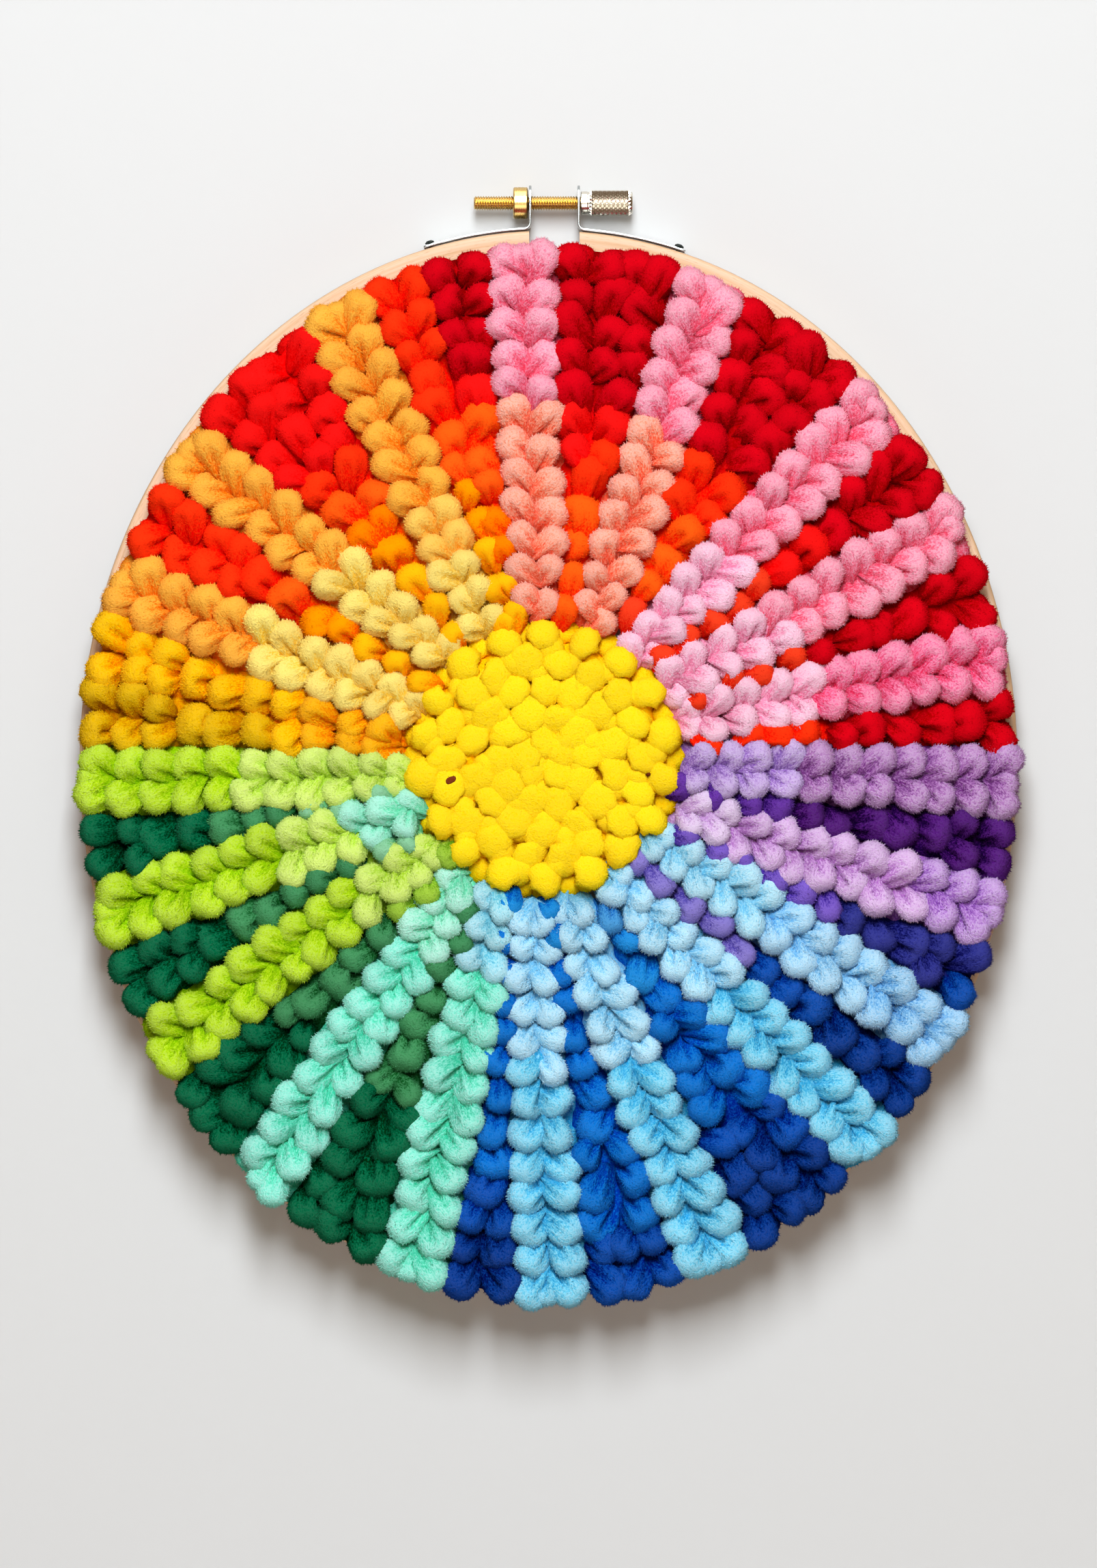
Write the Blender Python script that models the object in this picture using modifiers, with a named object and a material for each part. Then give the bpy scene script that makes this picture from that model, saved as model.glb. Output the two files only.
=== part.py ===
"""Punch needle wall piece: a sunburst of plush yarn loops, punched through stretched cloth
that an oval wooden embroidery hoop grips, with a steel and brass clamp at its top.

Metres, +Z up, +X to the right, the front towards -Y. The origin is the hanging point: the
underside of the clamp screw, midway between its ears, on the wall plane y = 0."""

import math
import random
from collections import namedtuple

import bmesh
import bpy
from mathutils import Matrix, Vector

MM = 0.001
CLEARANCE = 0.3 * MM

# The clamp screw and its fittings. The screw lies along X, above the hoop's sawn gap.
SCREW_RADIUS = 2.0 * MM
SCREW_HEIGHT = SCREW_RADIUS
SCREW_TIP = -21.9 * MM
SCREW_END = 13.0 * MM
SCREW_CHAMFER = 0.5 * MM
HEAD_RADIUS = 3.5 * MM
HEAD_END = 21.3 * MM
HEAD_CHAMFER = 0.5 * MM
COLLAR_LENGTH = 2.0 * MM
COLLAR_RADIUS = 3.2 * MM
NUT_RADIUS = 4.35 * MM
NUT_LENGTH = 4.0 * MM
NUT_CHAMFER = 0.35 * MM
BORE_RADIUS = SCREW_RADIUS + CLEARANCE

# The steel strips: each has a foot on the hoop's outer face and an ear that the screw passes.
STRIP_THICKNESS = 0.7 * MM
STRIP_WIDTH = 9.0 * MM
STRIP_BEND = 1.8 * MM
EAR_PLACE = 6.55 * MM
EAR_TOP = 6.8 * MM
EAR_ROUNDING = 4.3 * MM
FOOT_REACH = 35.3 * MM
FOOT_STEPS = 6
BRAD_INSET = 1.8 * MM
BRAD_HEAD_RADIUS = 1.3 * MM
BRAD_HEAD_HEIGHT = 0.8 * MM
BRAD_SHANK_RADIUS = 0.6 * MM
BRAD_SHANK_LENGTH = 4.0 * MM

# The hoop: a sawn outer ring, the cloth, and a closed inner ring, all offsets of one oval.
HOOP_CENTRE = Vector((-1.6 * MM, 0.0, -150.1 * MM))
HOOP_HALF_WIDTH = 127.4 * MM
HOOP_HALF_HEIGHT = 144.5 * MM
HOOP_DEPTH = 10.0 * MM
HOOP_EDGE = 0.8 * MM
HOOP_STEPS = 56
OUTER_WALL = 5.5 * MM
INNER_WALL = 4.5 * MM
SAWN_GAP = 13.7 * MM
CLOTH_THICKNESS = 1.2 * MM
CLOTH_TRIM = 1.2 * MM

# The pile: its outline is an oval a little below the hoop's, and its rays start at the sun.
PILE_CENTRE = Vector((-1.6 * MM, 0.0, -152.5 * MM))
PILE_HALF_WIDTH = 127.6 * MM
PILE_HALF_HEIGHT = 144.8 * MM
PILE_BACK = -(HOOP_DEPTH + 2.0 * CLEARANCE + CLOTH_THICKNESS)
SUN_CENTRE = Vector((-2.8 * MM, 0.0, -149.0 * MM))
SUN_RADIUS = 37.4 * MM
FIELD_GAP = 0.5 * MM
RAY_START = SUN_RADIUS + FIELD_GAP
RAY_HALF_WIDTH = 5.6 * MM
RAY_SPREAD = 4.0 * MM
RAY_SPREAD_LENGTH = 92.0 * MM
GROUND_START_WIDTH = 2.2 * MM

# The lumps: one for each clump of loops, in rows that cross a field from edge to edge.
LUMP_PITCH = 10.0 * MM
LUMP_WIDTH = 9.5 * MM
MOST_LUMPS_ACROSS = 3
LUMP_HEIGHT = 13.4 * MM
LUMP_UNEVEN = 0.8 * MM
SADDLE_HEIGHT = 10.0 * MM
HOLLOW_HEIGHT = 8.2 * MM
SIDE_HEIGHT = 9.0 * MM
SIDE_NOTCH_HEIGHT = 6.2 * MM
SIDE_NOTCH = 0.9 * MM
RIM_HEIGHT = 4.6 * MM
RIM_SCALLOP = 2.6 * MM
RIM_UNDERCUT = 4.0 * MM

# The sun's rings of round nubs, from its edge to its middle.
SUN_SECTORS = 36
NubRing = namedtuple("NubRing", "radius nub_height between_height sectors_apart")
SUN_RINGS = (
    NubRing(SUN_RADIUS, 7.0 * MM, 5.5 * MM, 2),
    NubRing(32.0 * MM, 13.6 * MM, 9.5 * MM, 2),
    NubRing(26.5 * MM, 9.5 * MM, 8.6 * MM, 2),
    NubRing(21.3 * MM, 13.2 * MM, 9.6 * MM, 3),
    NubRing(15.8 * MM, 9.4 * MM, 8.6 * MM, 3),
    NubRing(10.4 * MM, 13.0 * MM, 9.6 * MM, 6),
    NubRing(5.4 * MM, 9.4 * MM, 8.8 * MM, 6),
)
SUN_MIDDLE_HEIGHT = 12.6 * MM
SUN_NOTCH = 1.4 * MM

YARN_COLOURS = {
    "yellow": "FFDE0A",
    "pink": "F48CB4",
    "salmon": "F8968A",
    "light_pink": "F9BDD6",
    "rose": "F2709B",
    "lilac": "B285D6",
    "orchid": "C79AD2",
    "pale_orchid": "DDBFE3",
    "periwinkle": "94BEEE",
    "pale_aqua": "A5DDF0",
    "sky": "7CC8EE",
    "pale_sky": "AEDDF3",
    "mint": "8AE0C0",
    "aqua": "9ADFDD",
    "lime": "B2DA3C",
    "pale_lime": "CFE878",
    "apricot": "FFAB48",
    "pale_yellow": "FFD766",
    "crimson": "C8001A",
    "vermilion": "F2300A",
    "coral": "EE3C1C",
    "orange": "FF7A00",
    "amber": "FFA500",
    "purple": "4F2390",
    "violet": "7C5CC4",
    "indigo": "3F37A0",
    "navy": "0A3F9E",
    "lavender": "8A7CCB",
    "blue": "1A78D6",
    "dark_green": "006B45",
    "mid_green": "4CA46C",
    "mustard": "D9A800",
    "gold": "FDBB00",
}

# A ray's centre line points at aim, in degrees clockwise from the top, and passes the sun's
# centre at the distance miss. Inside the radius change it goes over to its inner yarn.
Ray = namedtuple("Ray", "aim miss yarn inner_yarn change")
RAYS = (
    Ray(-2.5, 0.0 * MM, "pink", "salmon", 93 * MM),
    Ray(19.6, 0.0 * MM, "pink", "salmon", 94 * MM),
    Ray(44.0, -1.6 * MM, "pink", "light_pink", 76 * MM),
    Ray(60.7, -0.5 * MM, "pink", "light_pink", 72 * MM),
    Ray(79.3, -4.0 * MM, "rose", "light_pink", 72 * MM),
    Ray(93.0, 0.0 * MM, "lilac", "orchid", 50 * MM),
    Ray(107.7, 3.0 * MM, "orchid", "pale_orchid", 58 * MM),
    Ray(125.0, 0.0 * MM, "periwinkle", "pale_aqua", 70 * MM),
    Ray(135.8, 9.0 * MM, "sky", "pale_sky", 80 * MM),
    Ray(157.2, 9.6 * MM, "sky", "pale_sky", 83 * MM),
    Ray(176.2, 7.2 * MM, "sky", "pale_sky", 83 * MM),
    Ray(193.3, 3.0 * MM, "mint", "aqua", 62 * MM),
    Ray(214.0, 0.0 * MM, "mint", "aqua", 61 * MM),
    Ray(233.0, -0.6 * MM, "lime", "pale_lime", 60 * MM),
    Ray(251.4, -2.0 * MM, "lime", "pale_lime", 75 * MM),
    Ray(269.3, -4.5 * MM, "lime", "pale_lime", 83 * MM),
    Ray(293.0, -1.2 * MM, "apricot", "pale_yellow", 87 * MM),
    Ray(308.8, 4.2 * MM, "apricot", "pale_yellow", 74 * MM),
    Ray(335.0, 0.0 * MM, "apricot", "pale_yellow", 68 * MM),
)

# A ground fills the space clockwise of a ray, or the share of it from begin to end.
Ground = namedtuple("Ground", "after_ray begin end yarn inner_yarn change")
GROUNDS = (
    Ground(1, 0.0, 1.0, "crimson", "vermilion", 85 * MM),
    Ground(2, 0.0, 1.0, "crimson", "vermilion", 85 * MM),
    Ground(3, 0.0, 1.0, "crimson", "coral", 78 * MM),
    Ground(4, 0.0, 1.0, "crimson", "coral", 77 * MM),
    Ground(5, 0.0, 1.0, "crimson", "vermilion", 77 * MM),
    Ground(6, 0.0, 1.0, "purple", "violet", 62 * MM),
    Ground(7, 0.0, 1.0, "indigo", "violet", 85 * MM),
    Ground(8, 0.0, 1.0, "navy", "lavender", 74 * MM),
    Ground(9, 0.0, 1.0, "navy", "blue", 105 * MM),
    Ground(10, 0.0, 1.0, "navy", "blue", 118 * MM),
    Ground(11, 0.0, 1.0, "navy", "blue", 115 * MM),
    Ground(12, 0.0, 1.0, "dark_green", "mid_green", 98 * MM),
    Ground(13, 0.0, 1.0, "dark_green", "mid_green", 94 * MM),
    Ground(14, 0.0, 1.0, "dark_green", "mid_green", 94 * MM),
    Ground(15, 0.0, 1.0, "dark_green", "mid_green", 96 * MM),
    Ground(16, 0.0, 0.5, "mustard", "gold", 70 * MM),
    Ground(16, 0.5, 1.0, "gold", "amber", 62 * MM),
    Ground(17, 0.0, 1.0, "vermilion", "orange", 88 * MM),
    Ground(18, 0.0, 1.0, "vermilion", "orange", 84 * MM),
    Ground(19, 0.0, 0.5, "vermilion", "orange", 68 * MM),
    Ground(19, 0.5, 1.0, "crimson", "orange", 76 * MM),
)


def clear_scene():
    for old in list(bpy.data.objects):
        bpy.data.objects.remove(old, do_unlink=True)


def new_collection(name, hidden=False):
    collection = bpy.data.collections.new(name)
    bpy.context.scene.collection.children.link(collection)
    collection.hide_render = hidden
    return collection


def linear(level):
    """One sRGB channel, 0 to 1, as linear light."""
    if level <= 0.04045:
        return level / 12.92
    return ((level + 0.055) / 1.055) ** 2.4


def finish(name, colour, roughness, metallic=0.0):
    """A material of that name, from an sRGB hex colour."""
    material = bpy.data.materials.get(name)
    if material:
        return material
    channels = [int(colour[place : place + 2], 16) / 255 for place in (0, 2, 4)]
    rgba = (*[linear(channel) for channel in channels], 1.0)
    material = bpy.data.materials.new(name)
    material.use_nodes = True
    material.diffuse_color = rgba
    shader = material.node_tree.nodes["Principled BSDF"]
    shader.inputs["Base Color"].default_value = rgba
    shader.inputs["Roughness"].default_value = roughness
    shader.inputs["Metallic"].default_value = metallic
    return material


def yarn(name):
    return finish(name + "_yarn", YARN_COLOURS[name], 0.95)


def beech():
    return finish("pale_beech", "E8C08C", 0.55)


def steel():
    return finish("zinc_plated_steel", "B9BCBE", 0.32, 1.0)


def brass():
    return finish("turned_brass", "C9A24A", 0.3, 1.0)


def add_object(name, mesh, collection, *materials, smooth_angle=None):
    """An object of that mesh in the collection, with its doubles and its shading settled."""
    for material in materials:
        mesh.materials.append(material)
    if smooth_angle is not None:
        mesh.shade_smooth()
        mesh.set_sharp_from_angle(angle=smooth_angle)
    obj = bpy.data.objects.new(name, mesh)
    collection.objects.link(obj)
    return obj


def mesh_from(work, name):
    """Closes a bmesh and gives its mesh, with every face turned outwards."""
    bmesh.ops.recalc_face_normals(work, faces=work.faces)
    mesh = bpy.data.meshes.new(name)
    work.to_mesh(mesh)
    work.free()
    return mesh


def crease_from_lumps(work):
    """Splits each four-sided face from its lump down to its hollow, the longer way across."""
    quads = [face for face in work.faces if len(face.verts) == 4]
    bmesh.ops.triangulate(work, faces=quads, quad_method="LONG_EDGE")


def cut(obj, cutter):
    modifier = obj.modifiers.new("cut_" + cutter.name, "BOOLEAN")
    modifier.operation = "DIFFERENCE"
    modifier.solver = "EXACT"
    modifier.object = cutter


def rod_cutter(name, cutters, radius, length, centre, direction, sides=16):
    """A cylinder that only cuts, centred on a point and lying along a direction."""
    work = bmesh.new()
    bmesh.ops.create_cone(
        work, cap_ends=True, segments=sides, radius1=radius, radius2=radius, depth=length
    )
    cutter = add_object(name, mesh_from(work, name), cutters)
    turn = Vector((0.0, 0.0, 1.0)).rotation_difference(direction).to_matrix().to_4x4()
    cutter.matrix_world = Matrix.Translation(centre) @ turn
    cutter.display_type = "WIRE"
    cutter.hide_render = True
    return cutter


def box_cutter(name, cutters, size, centre):
    work = bmesh.new()
    bmesh.ops.create_cube(work, size=1.0)
    bmesh.ops.scale(work, vec=size, verts=work.verts)
    cutter = add_object(name, mesh_from(work, name), cutters)
    cutter.location = centre
    cutter.display_type = "WIRE"
    cutter.hide_render = True
    return cutter


def oval_point(outset, turn, y=0.0):
    """A point that far outside the hoop's oval, at the oval's own angle from +X."""
    on_oval = Vector((HOOP_HALF_WIDTH * math.cos(turn), 0.0, HOOP_HALF_HEIGHT * math.sin(turn)))
    out = Vector((math.cos(turn) / HOOP_HALF_WIDTH, 0.0, math.sin(turn) / HOOP_HALF_HEIGHT))
    return HOOP_CENTRE + on_oval + out.normalized() * outset + Vector((0.0, y, 0.0))


def oval_turns():
    return [math.tau * step / HOOP_STEPS for step in range(HOOP_STEPS)]


def wooden_ring(name, collection, outside, wall):
    """A ring between two offsets of the oval: a flat outline, extruded, with eased edges."""
    curve = bpy.data.curves.new(name, "CURVE")
    curve.dimensions = "2D"
    curve.fill_mode = "BOTH"
    curve.extrude = HOOP_DEPTH / 2 - HOOP_EDGE
    curve.bevel_depth = HOOP_EDGE
    curve.bevel_resolution = 0
    curve.offset = -HOOP_EDGE
    for outset in (outside, outside - wall):
        spline = curve.splines.new("POLY")
        spline.points.add(HOOP_STEPS - 1)
        spline.use_cyclic_u = True
        for point, turn in zip(spline.points, oval_turns()):
            place = oval_point(outset, turn)
            point.co = (place.x, place.z, 0.0, 1.0)
    outline = bpy.data.objects.new(name + "_outline", curve)
    collection.objects.link(outline)
    outline.rotation_euler = (math.pi / 2, 0.0, 0.0)
    outline.location = (0.0, -HOOP_DEPTH / 2, 0.0)
    bpy.context.view_layer.update()
    graph = bpy.context.evaluated_depsgraph_get()
    mesh = bpy.data.meshes.new_from_object(outline.evaluated_get(graph))
    mesh.transform(outline.matrix_world)
    bpy.data.objects.remove(outline)
    work = bmesh.new()
    work.from_mesh(mesh)
    bpy.data.meshes.remove(mesh)
    bmesh.ops.remove_doubles(work, verts=work.verts, dist=0.01 * MM)
    mesh = mesh_from(work, name)
    return add_object(name, mesh, collection, beech(), smooth_angle=math.radians(30))


def build_hoop(collection, cutters):
    """The outer ring, sawn through at the clamp, and the closed inner ring."""
    outer = wooden_ring("outer_hoop", collection, 0.0, OUTER_WALL)
    top = HOOP_CENTRE.z + HOOP_HALF_HEIGHT
    size = (SAWN_GAP, 3 * HOOP_DEPTH, 4 * OUTER_WALL)
    cut(outer, box_cutter("saw", cutters, size, (0.0, -HOOP_DEPTH / 2, top)))
    gripped = -(OUTER_WALL + CLOTH_THICKNESS + 2 * CLEARANCE)
    wooden_ring("inner_hoop", collection, gripped, INNER_WALL)
    return outer


def build_cloth(collection):
    """The cloth: flat over the inner ring's front and turned back between the rings."""
    outside = -(OUTER_WALL + CLEARANCE)
    front = -(HOOP_DEPTH + CLEARANCE + CLOTH_THICKNESS)
    work = bmesh.new()
    bmesh.ops.create_circle(work, cap_ends=True, segments=HOOP_STEPS, radius=1.0)
    for vertex in work.verts:
        turn = math.atan2(vertex.co.y, vertex.co.x)
        vertex.co = oval_point(outside, turn, front)
    rim = [edge for edge in work.edges if edge.is_boundary]
    skirt = bmesh.ops.extrude_edge_only(work, edges=rim)["geom"]
    turned_back = [part for part in skirt if isinstance(part, bmesh.types.BMVert)]
    for vertex in turned_back:
        vertex.co.y = -CLOTH_TRIM
    mesh = mesh_from(work, "backing_cloth")
    material = finish("off_white_cloth", "E9E6DE", 0.9)
    cloth = add_object("backing_cloth", mesh, collection, material)
    thickness = cloth.modifiers.new("thickness", "SOLIDIFY")
    thickness.thickness = CLOTH_THICKNESS
    thickness.offset = -1.0
    thickness.use_even_offset = True
    return cloth


def foot_point(side, reach):
    """The middle of a strip's thickness, where its foot lies on the hoop's outer face."""
    turn = math.acos((side * reach - HOOP_CENTRE.x) / HOOP_HALF_WIDTH)
    return oval_point(CLEARANCE + STRIP_THICKNESS / 2, turn)


def strip_path(side):
    """The strip's line in the XZ plane: along the hoop, round a small bend and up the ear."""
    bend_start = EAR_PLACE + STRIP_BEND
    run = (FOOT_REACH - bend_start) / FOOT_STEPS
    path = [foot_point(side, FOOT_REACH - run * step) for step in range(FOOT_STEPS + 1)]
    middle = path[-1] + Vector((0.0, 0.0, STRIP_BEND))
    for degrees in (30, 60, 90):
        turn = math.radians(degrees)
        across = Vector((-side * math.sin(turn), 0.0, -math.cos(turn)))
        path.append(middle + across * STRIP_BEND)
    path.append(Vector((path[-1].x, 0.0, EAR_TOP)))
    return path


def build_strip(name, collection, cutters, side):
    """A steel strip: a bent sheet with rounded ear, bored for the screw and for a brad."""
    back = -(HOOP_DEPTH - STRIP_WIDTH) / 2
    work = bmesh.new()
    line = [work.verts.new(point + Vector((0.0, back, 0.0))) for point in strip_path(side)]
    edges = [work.edges.new(pair) for pair in zip(line, line[1:])]
    swept = bmesh.ops.extrude_edge_only(work, edges=edges)["geom"]
    front = [part for part in swept if isinstance(part, bmesh.types.BMVert)]
    bmesh.ops.translate(work, vec=(0.0, -STRIP_WIDTH, 0.0), verts=front)
    corners = [vertex for vertex in work.verts if abs(vertex.co.z - EAR_TOP) < 0.01 * MM]
    bmesh.ops.bevel(
        work, geom=corners, offset=EAR_ROUNDING, segments=5, profile=0.5, affect="VERTICES"
    )
    mesh = mesh_from(work, name)
    strip = add_object(name, mesh, collection, steel(), smooth_angle=math.radians(35))
    thickness = strip.modifiers.new("thickness", "SOLIDIFY")
    thickness.thickness = STRIP_THICKNESS
    thickness.offset = 0.0
    thickness.use_even_offset = True
    centre = Vector((side * EAR_PLACE, -HOOP_DEPTH / 2, SCREW_HEIGHT))
    along = Vector((1.0, 0.0, 0.0))
    cut(strip, rod_cutter(name + "_bore", cutters, BORE_RADIUS, 4 * MM, centre, along))
    return strip


def turned(name, collection, stations, material, steps=24):
    """A turned piece: stations are (distance along, radius), spun about the local Z axis."""
    mesh = bpy.data.meshes.new(name)
    points = [(radius, 0.0, along) for along, radius in stations]
    closed = stations[0][1] > 0.0
    edges = [(place, place + 1) for place in range(len(points) - 1)]
    if closed:
        edges.append((len(points) - 1, 0))
    mesh.from_pydata(points, edges, [])
    piece = add_object(name, mesh, collection, material)
    spin = piece.modifiers.new("spin", "SCREW")
    spin.steps = steps
    spin.render_steps = steps
    spin.axis = "Z"
    spin.use_merge_vertices = True
    spin.merge_threshold = 0.001 * MM
    spin.use_smooth_shade = True
    return piece


def lay_along_screw(piece):
    """Turns a piece's own Z axis along +X and sets it on the screw's axis."""
    piece.rotation_euler = (0.0, math.pi / 2, 0.0)
    piece.location = (0.0, -HOOP_DEPTH / 2, SCREW_HEIGHT)


def build_screw(collection):
    """The brass screw, its round nut at the left ear and its knurled head at the right."""
    ear_face = EAR_PLACE + STRIP_THICKNESS / 2 + CLEARANCE
    core = SCREW_RADIUS - SCREW_CHAMFER
    screw = turned(
        "clamp_screw",
        collection,
        (
            (SCREW_END, 0.0),
            (SCREW_END, SCREW_RADIUS),
            (SCREW_TIP + SCREW_CHAMFER, SCREW_RADIUS),
            (SCREW_TIP, core),
            (SCREW_TIP, 0.0),
        ),
        brass(),
        steps=20,
    )
    nut = turned(
        "brass_nut",
        collection,
        (
            (-ear_face, BORE_RADIUS),
            (-ear_face, NUT_RADIUS - NUT_CHAMFER),
            (-ear_face - NUT_CHAMFER, NUT_RADIUS),
            (-ear_face - NUT_LENGTH + NUT_CHAMFER, NUT_RADIUS),
            (-ear_face - NUT_LENGTH, NUT_RADIUS - NUT_CHAMFER),
            (-ear_face - NUT_LENGTH, BORE_RADIUS),
        ),
        brass(),
        steps=28,
    )
    head = turned(
        "knurled_head",
        collection,
        (
            (HEAD_END, 0.0),
            (HEAD_END, HEAD_RADIUS - HEAD_CHAMFER),
            (HEAD_END - HEAD_CHAMFER, HEAD_RADIUS),
            (ear_face + COLLAR_LENGTH, HEAD_RADIUS),
            (ear_face + COLLAR_LENGTH, COLLAR_RADIUS),
            (ear_face, COLLAR_RADIUS),
            (ear_face, BORE_RADIUS),
            (SCREW_END + CLEARANCE, BORE_RADIUS),
            (SCREW_END + CLEARANCE, 0.0),
        ),
        finish("nickel_plated_brass", "C9C6BE", 0.28, 1.0),
        steps=24,
    )
    for piece in (screw, nut, head):
        lay_along_screw(piece)


def build_brad(name, collection, cutters, strip, hoop, side):
    """A small domed brad at a foot's end, with its hole through the strip into the wood."""
    reach = FOOT_REACH - BRAD_INSET
    turn = math.acos((side * reach - HOOP_CENTRE.x) / HOOP_HALF_WIDTH)
    seat = oval_point(2 * CLEARANCE + STRIP_THICKNESS, turn, -HOOP_DEPTH / 2)
    out = oval_point(1.0, turn) - oval_point(0.0, turn)
    brad = turned(
        name,
        collection,
        (
            (BRAD_HEAD_HEIGHT, 0.0),
            (BRAD_HEAD_HEIGHT, 0.5 * BRAD_HEAD_RADIUS),
            (0.5 * BRAD_HEAD_HEIGHT, BRAD_HEAD_RADIUS),
            (0.0, BRAD_HEAD_RADIUS),
            (0.0, BRAD_SHANK_RADIUS),
            (-BRAD_SHANK_LENGTH, BRAD_SHANK_RADIUS),
            (-BRAD_SHANK_LENGTH, 0.0),
        ),
        finish("darkened_steel", "3C423F", 0.45, 1.0),
        steps=10,
    )
    brad.matrix_world = Matrix.Translation(seat) @ out.to_track_quat("Z", "Y").to_matrix().to_4x4()
    hole_radius = BRAD_SHANK_RADIUS + CLEARANCE
    hole_length = 2 * (BRAD_SHANK_LENGTH + CLEARANCE)
    hole = rod_cutter(name + "_hole", cutters, hole_radius, hole_length, seat, out, sides=10)
    cut(strip, hole)
    cut(hoop, hole)


def polar_point(radius, turn, height):
    """A point of the pile: radius and clockwise turn about the sun, height above the cloth."""
    aside = Vector((math.sin(turn), 0.0, math.cos(turn)))
    return SUN_CENTRE + aside * radius + Vector((0.0, PILE_BACK - height, 0.0))


def rim_radius(turn):
    """How far the pile's oval outline is from the sun's centre in one direction."""
    toward = Vector((math.sin(turn) / PILE_HALF_WIDTH, math.cos(turn) / PILE_HALF_HEIGHT))
    apart = SUN_CENTRE - PILE_CENTRE
    start = Vector((apart.x / PILE_HALF_WIDTH, apart.z / PILE_HALF_HEIGHT))
    square = toward.dot(toward)
    half_linear = toward.dot(start)
    rest = start.dot(start) - 1.0
    return (math.sqrt(half_linear**2 - square * rest) - half_linear) / square


def ray_turn(number, radius):
    """The angle of a ray's centre line at a radius. Ray numbers go round past both ends."""
    laps, place = divmod(number - 1, len(RAYS))
    ray = RAYS[place]
    return math.radians(ray.aim + 360.0 * laps) + math.asin(ray.miss / radius)


def ray_edges(number, radius):
    """Both edges of a ray at a radius. Where rays crowd near the sun they share the room."""
    spread = math.sqrt(max(0.0, radius - SUN_RADIUS) / RAY_SPREAD_LENGTH)
    half = (RAY_HALF_WIDTH + RAY_SPREAD * spread) / radius
    room = FIELD_GAP / 2 / radius
    before, centre, after = [ray_turn(number + step, radius) for step in (-1, 0, 1)]
    first = max(centre - half, (before + centre) / 2 + room)
    last = min(centre + half, (centre + after) / 2 - room)
    return first, last


def ground_edges(ground, radius):
    """Both edges of a ground at a radius, clear of the rays on its sides."""
    room = FIELD_GAP / radius
    first = ray_edges(ground.after_ray, radius)[1]
    last = ray_edges(ground.after_ray + 1, radius)[0]
    width = last - first
    gap_before = room if ground.begin == 0.0 else room / 2
    gap_after = room if ground.end == 1.0 else room / 2
    return first + width * ground.begin + gap_before, first + width * ground.end - gap_after


def ground_start(ground):
    """The radius at which a ground is wide enough to begin."""
    radius = RAY_START
    while True:
        first, last = ground_edges(ground, radius)
        if (last - first) * radius >= GROUND_START_WIDTH:
            return radius
        radius += 0.5 * MM


def lump_height(row, column, rows, columns, uneven):
    """The height of one grid point: lumps at odd rows and columns, hollows between them."""
    on_row = row % 2 == 1
    on_column = column % 2 == 1
    if row == rows:
        return RIM_HEIGHT
    if column in (0, columns) or row == 0:
        return SIDE_HEIGHT if on_row or (row == 0 and on_column) else SIDE_NOTCH_HEIGHT
    if on_row and on_column:
        return LUMP_HEIGHT + uneven.uniform(-LUMP_UNEVEN, LUMP_UNEVEN)
    return SADDLE_HEIGHT if on_row or on_column else HOLLOW_HEIGHT


def build_field(name, collection, edges_at, start, yarns, change, seed):
    """A lumpy slab of loops between two edges, from its start radius out to the rim, where
    its lumps end in scallops that overhang the hoop."""
    far_first, far_last = edges_at(PILE_HALF_WIDTH)
    rim = rim_radius((far_first + far_last) / 2)
    wide = (far_last - far_first) * rim
    lumps_across = min(MOST_LUMPS_ACROSS, max(1, round(wide / LUMP_WIDTH)))
    rows = 2 * max(2, round((rim - start) / LUMP_PITCH))
    columns = 2 * lumps_across
    uneven = random.Random(seed)

    def place(row, column, inset=0.0):
        """Radius and turn of a grid point: the edges are read at the point's own radius."""
        radius = start + (rim - start) * row / rows
        scallop = 0.0
        if row > 0 and column % 2 == 0:
            scallop = RIM_SCALLOP
        for _ in range(4):
            first, last = edges_at(radius)
            turn = first + (last - first) * column / columns
            reach = rim_radius(turn) - scallop - inset
            radius = start + (reach - start) * row / rows
        return radius, turn

    work = bmesh.new()
    bmesh.ops.create_grid(work, x_segments=columns, y_segments=rows, size=0.5)
    cells = {}
    for vertex in work.verts:
        column = round((vertex.co.x + 0.5) * columns)
        row = round((vertex.co.y + 0.5) * rows)
        cells[vertex] = (row, column)
    for vertex, (row, column) in cells.items():
        radius, turn = place(row, column)
        height = lump_height(row, column, rows, columns, uneven)
        inward = 0.0
        if row % 2 == 0 and 0 < row < rows and column in (0, columns):
            inward = SIDE_NOTCH / radius
        if column == columns:
            inward = -inward
        vertex.co = polar_point(radius, turn + inward, height)
    rim_edges = [edge for edge in work.edges if edge.is_boundary]
    above = {vertex: cells[vertex] for edge in rim_edges for vertex in edge.verts}
    walls = bmesh.ops.extrude_edge_only(work, edges=rim_edges)["geom"]
    low = [part for part in walls if isinstance(part, bmesh.types.BMVert)]
    low_edges = [part for part in walls if isinstance(part, bmesh.types.BMEdge)]
    for vertex in low:
        joined = [edge.other_vert(vertex) for edge in vertex.link_edges]
        upper = next(other for other in joined if other in above)
        row, column = above[upper]
        inset = RIM_UNDERCUT if row == rows else 0.0
        vertex.co = polar_point(*place(row, column, inset), 0.0)
    bmesh.ops.contextual_create(work, geom=low_edges)
    crease_from_lumps(work)
    mesh = mesh_from(work, name)
    obj = add_object(name, mesh, collection, *yarns, smooth_angle=math.radians(60))
    for face in mesh.polygons:
        aside = face.center - SUN_CENTRE
        if math.hypot(aside.x, aside.z) < change:
            face.material_index = 1
    return obj


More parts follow.
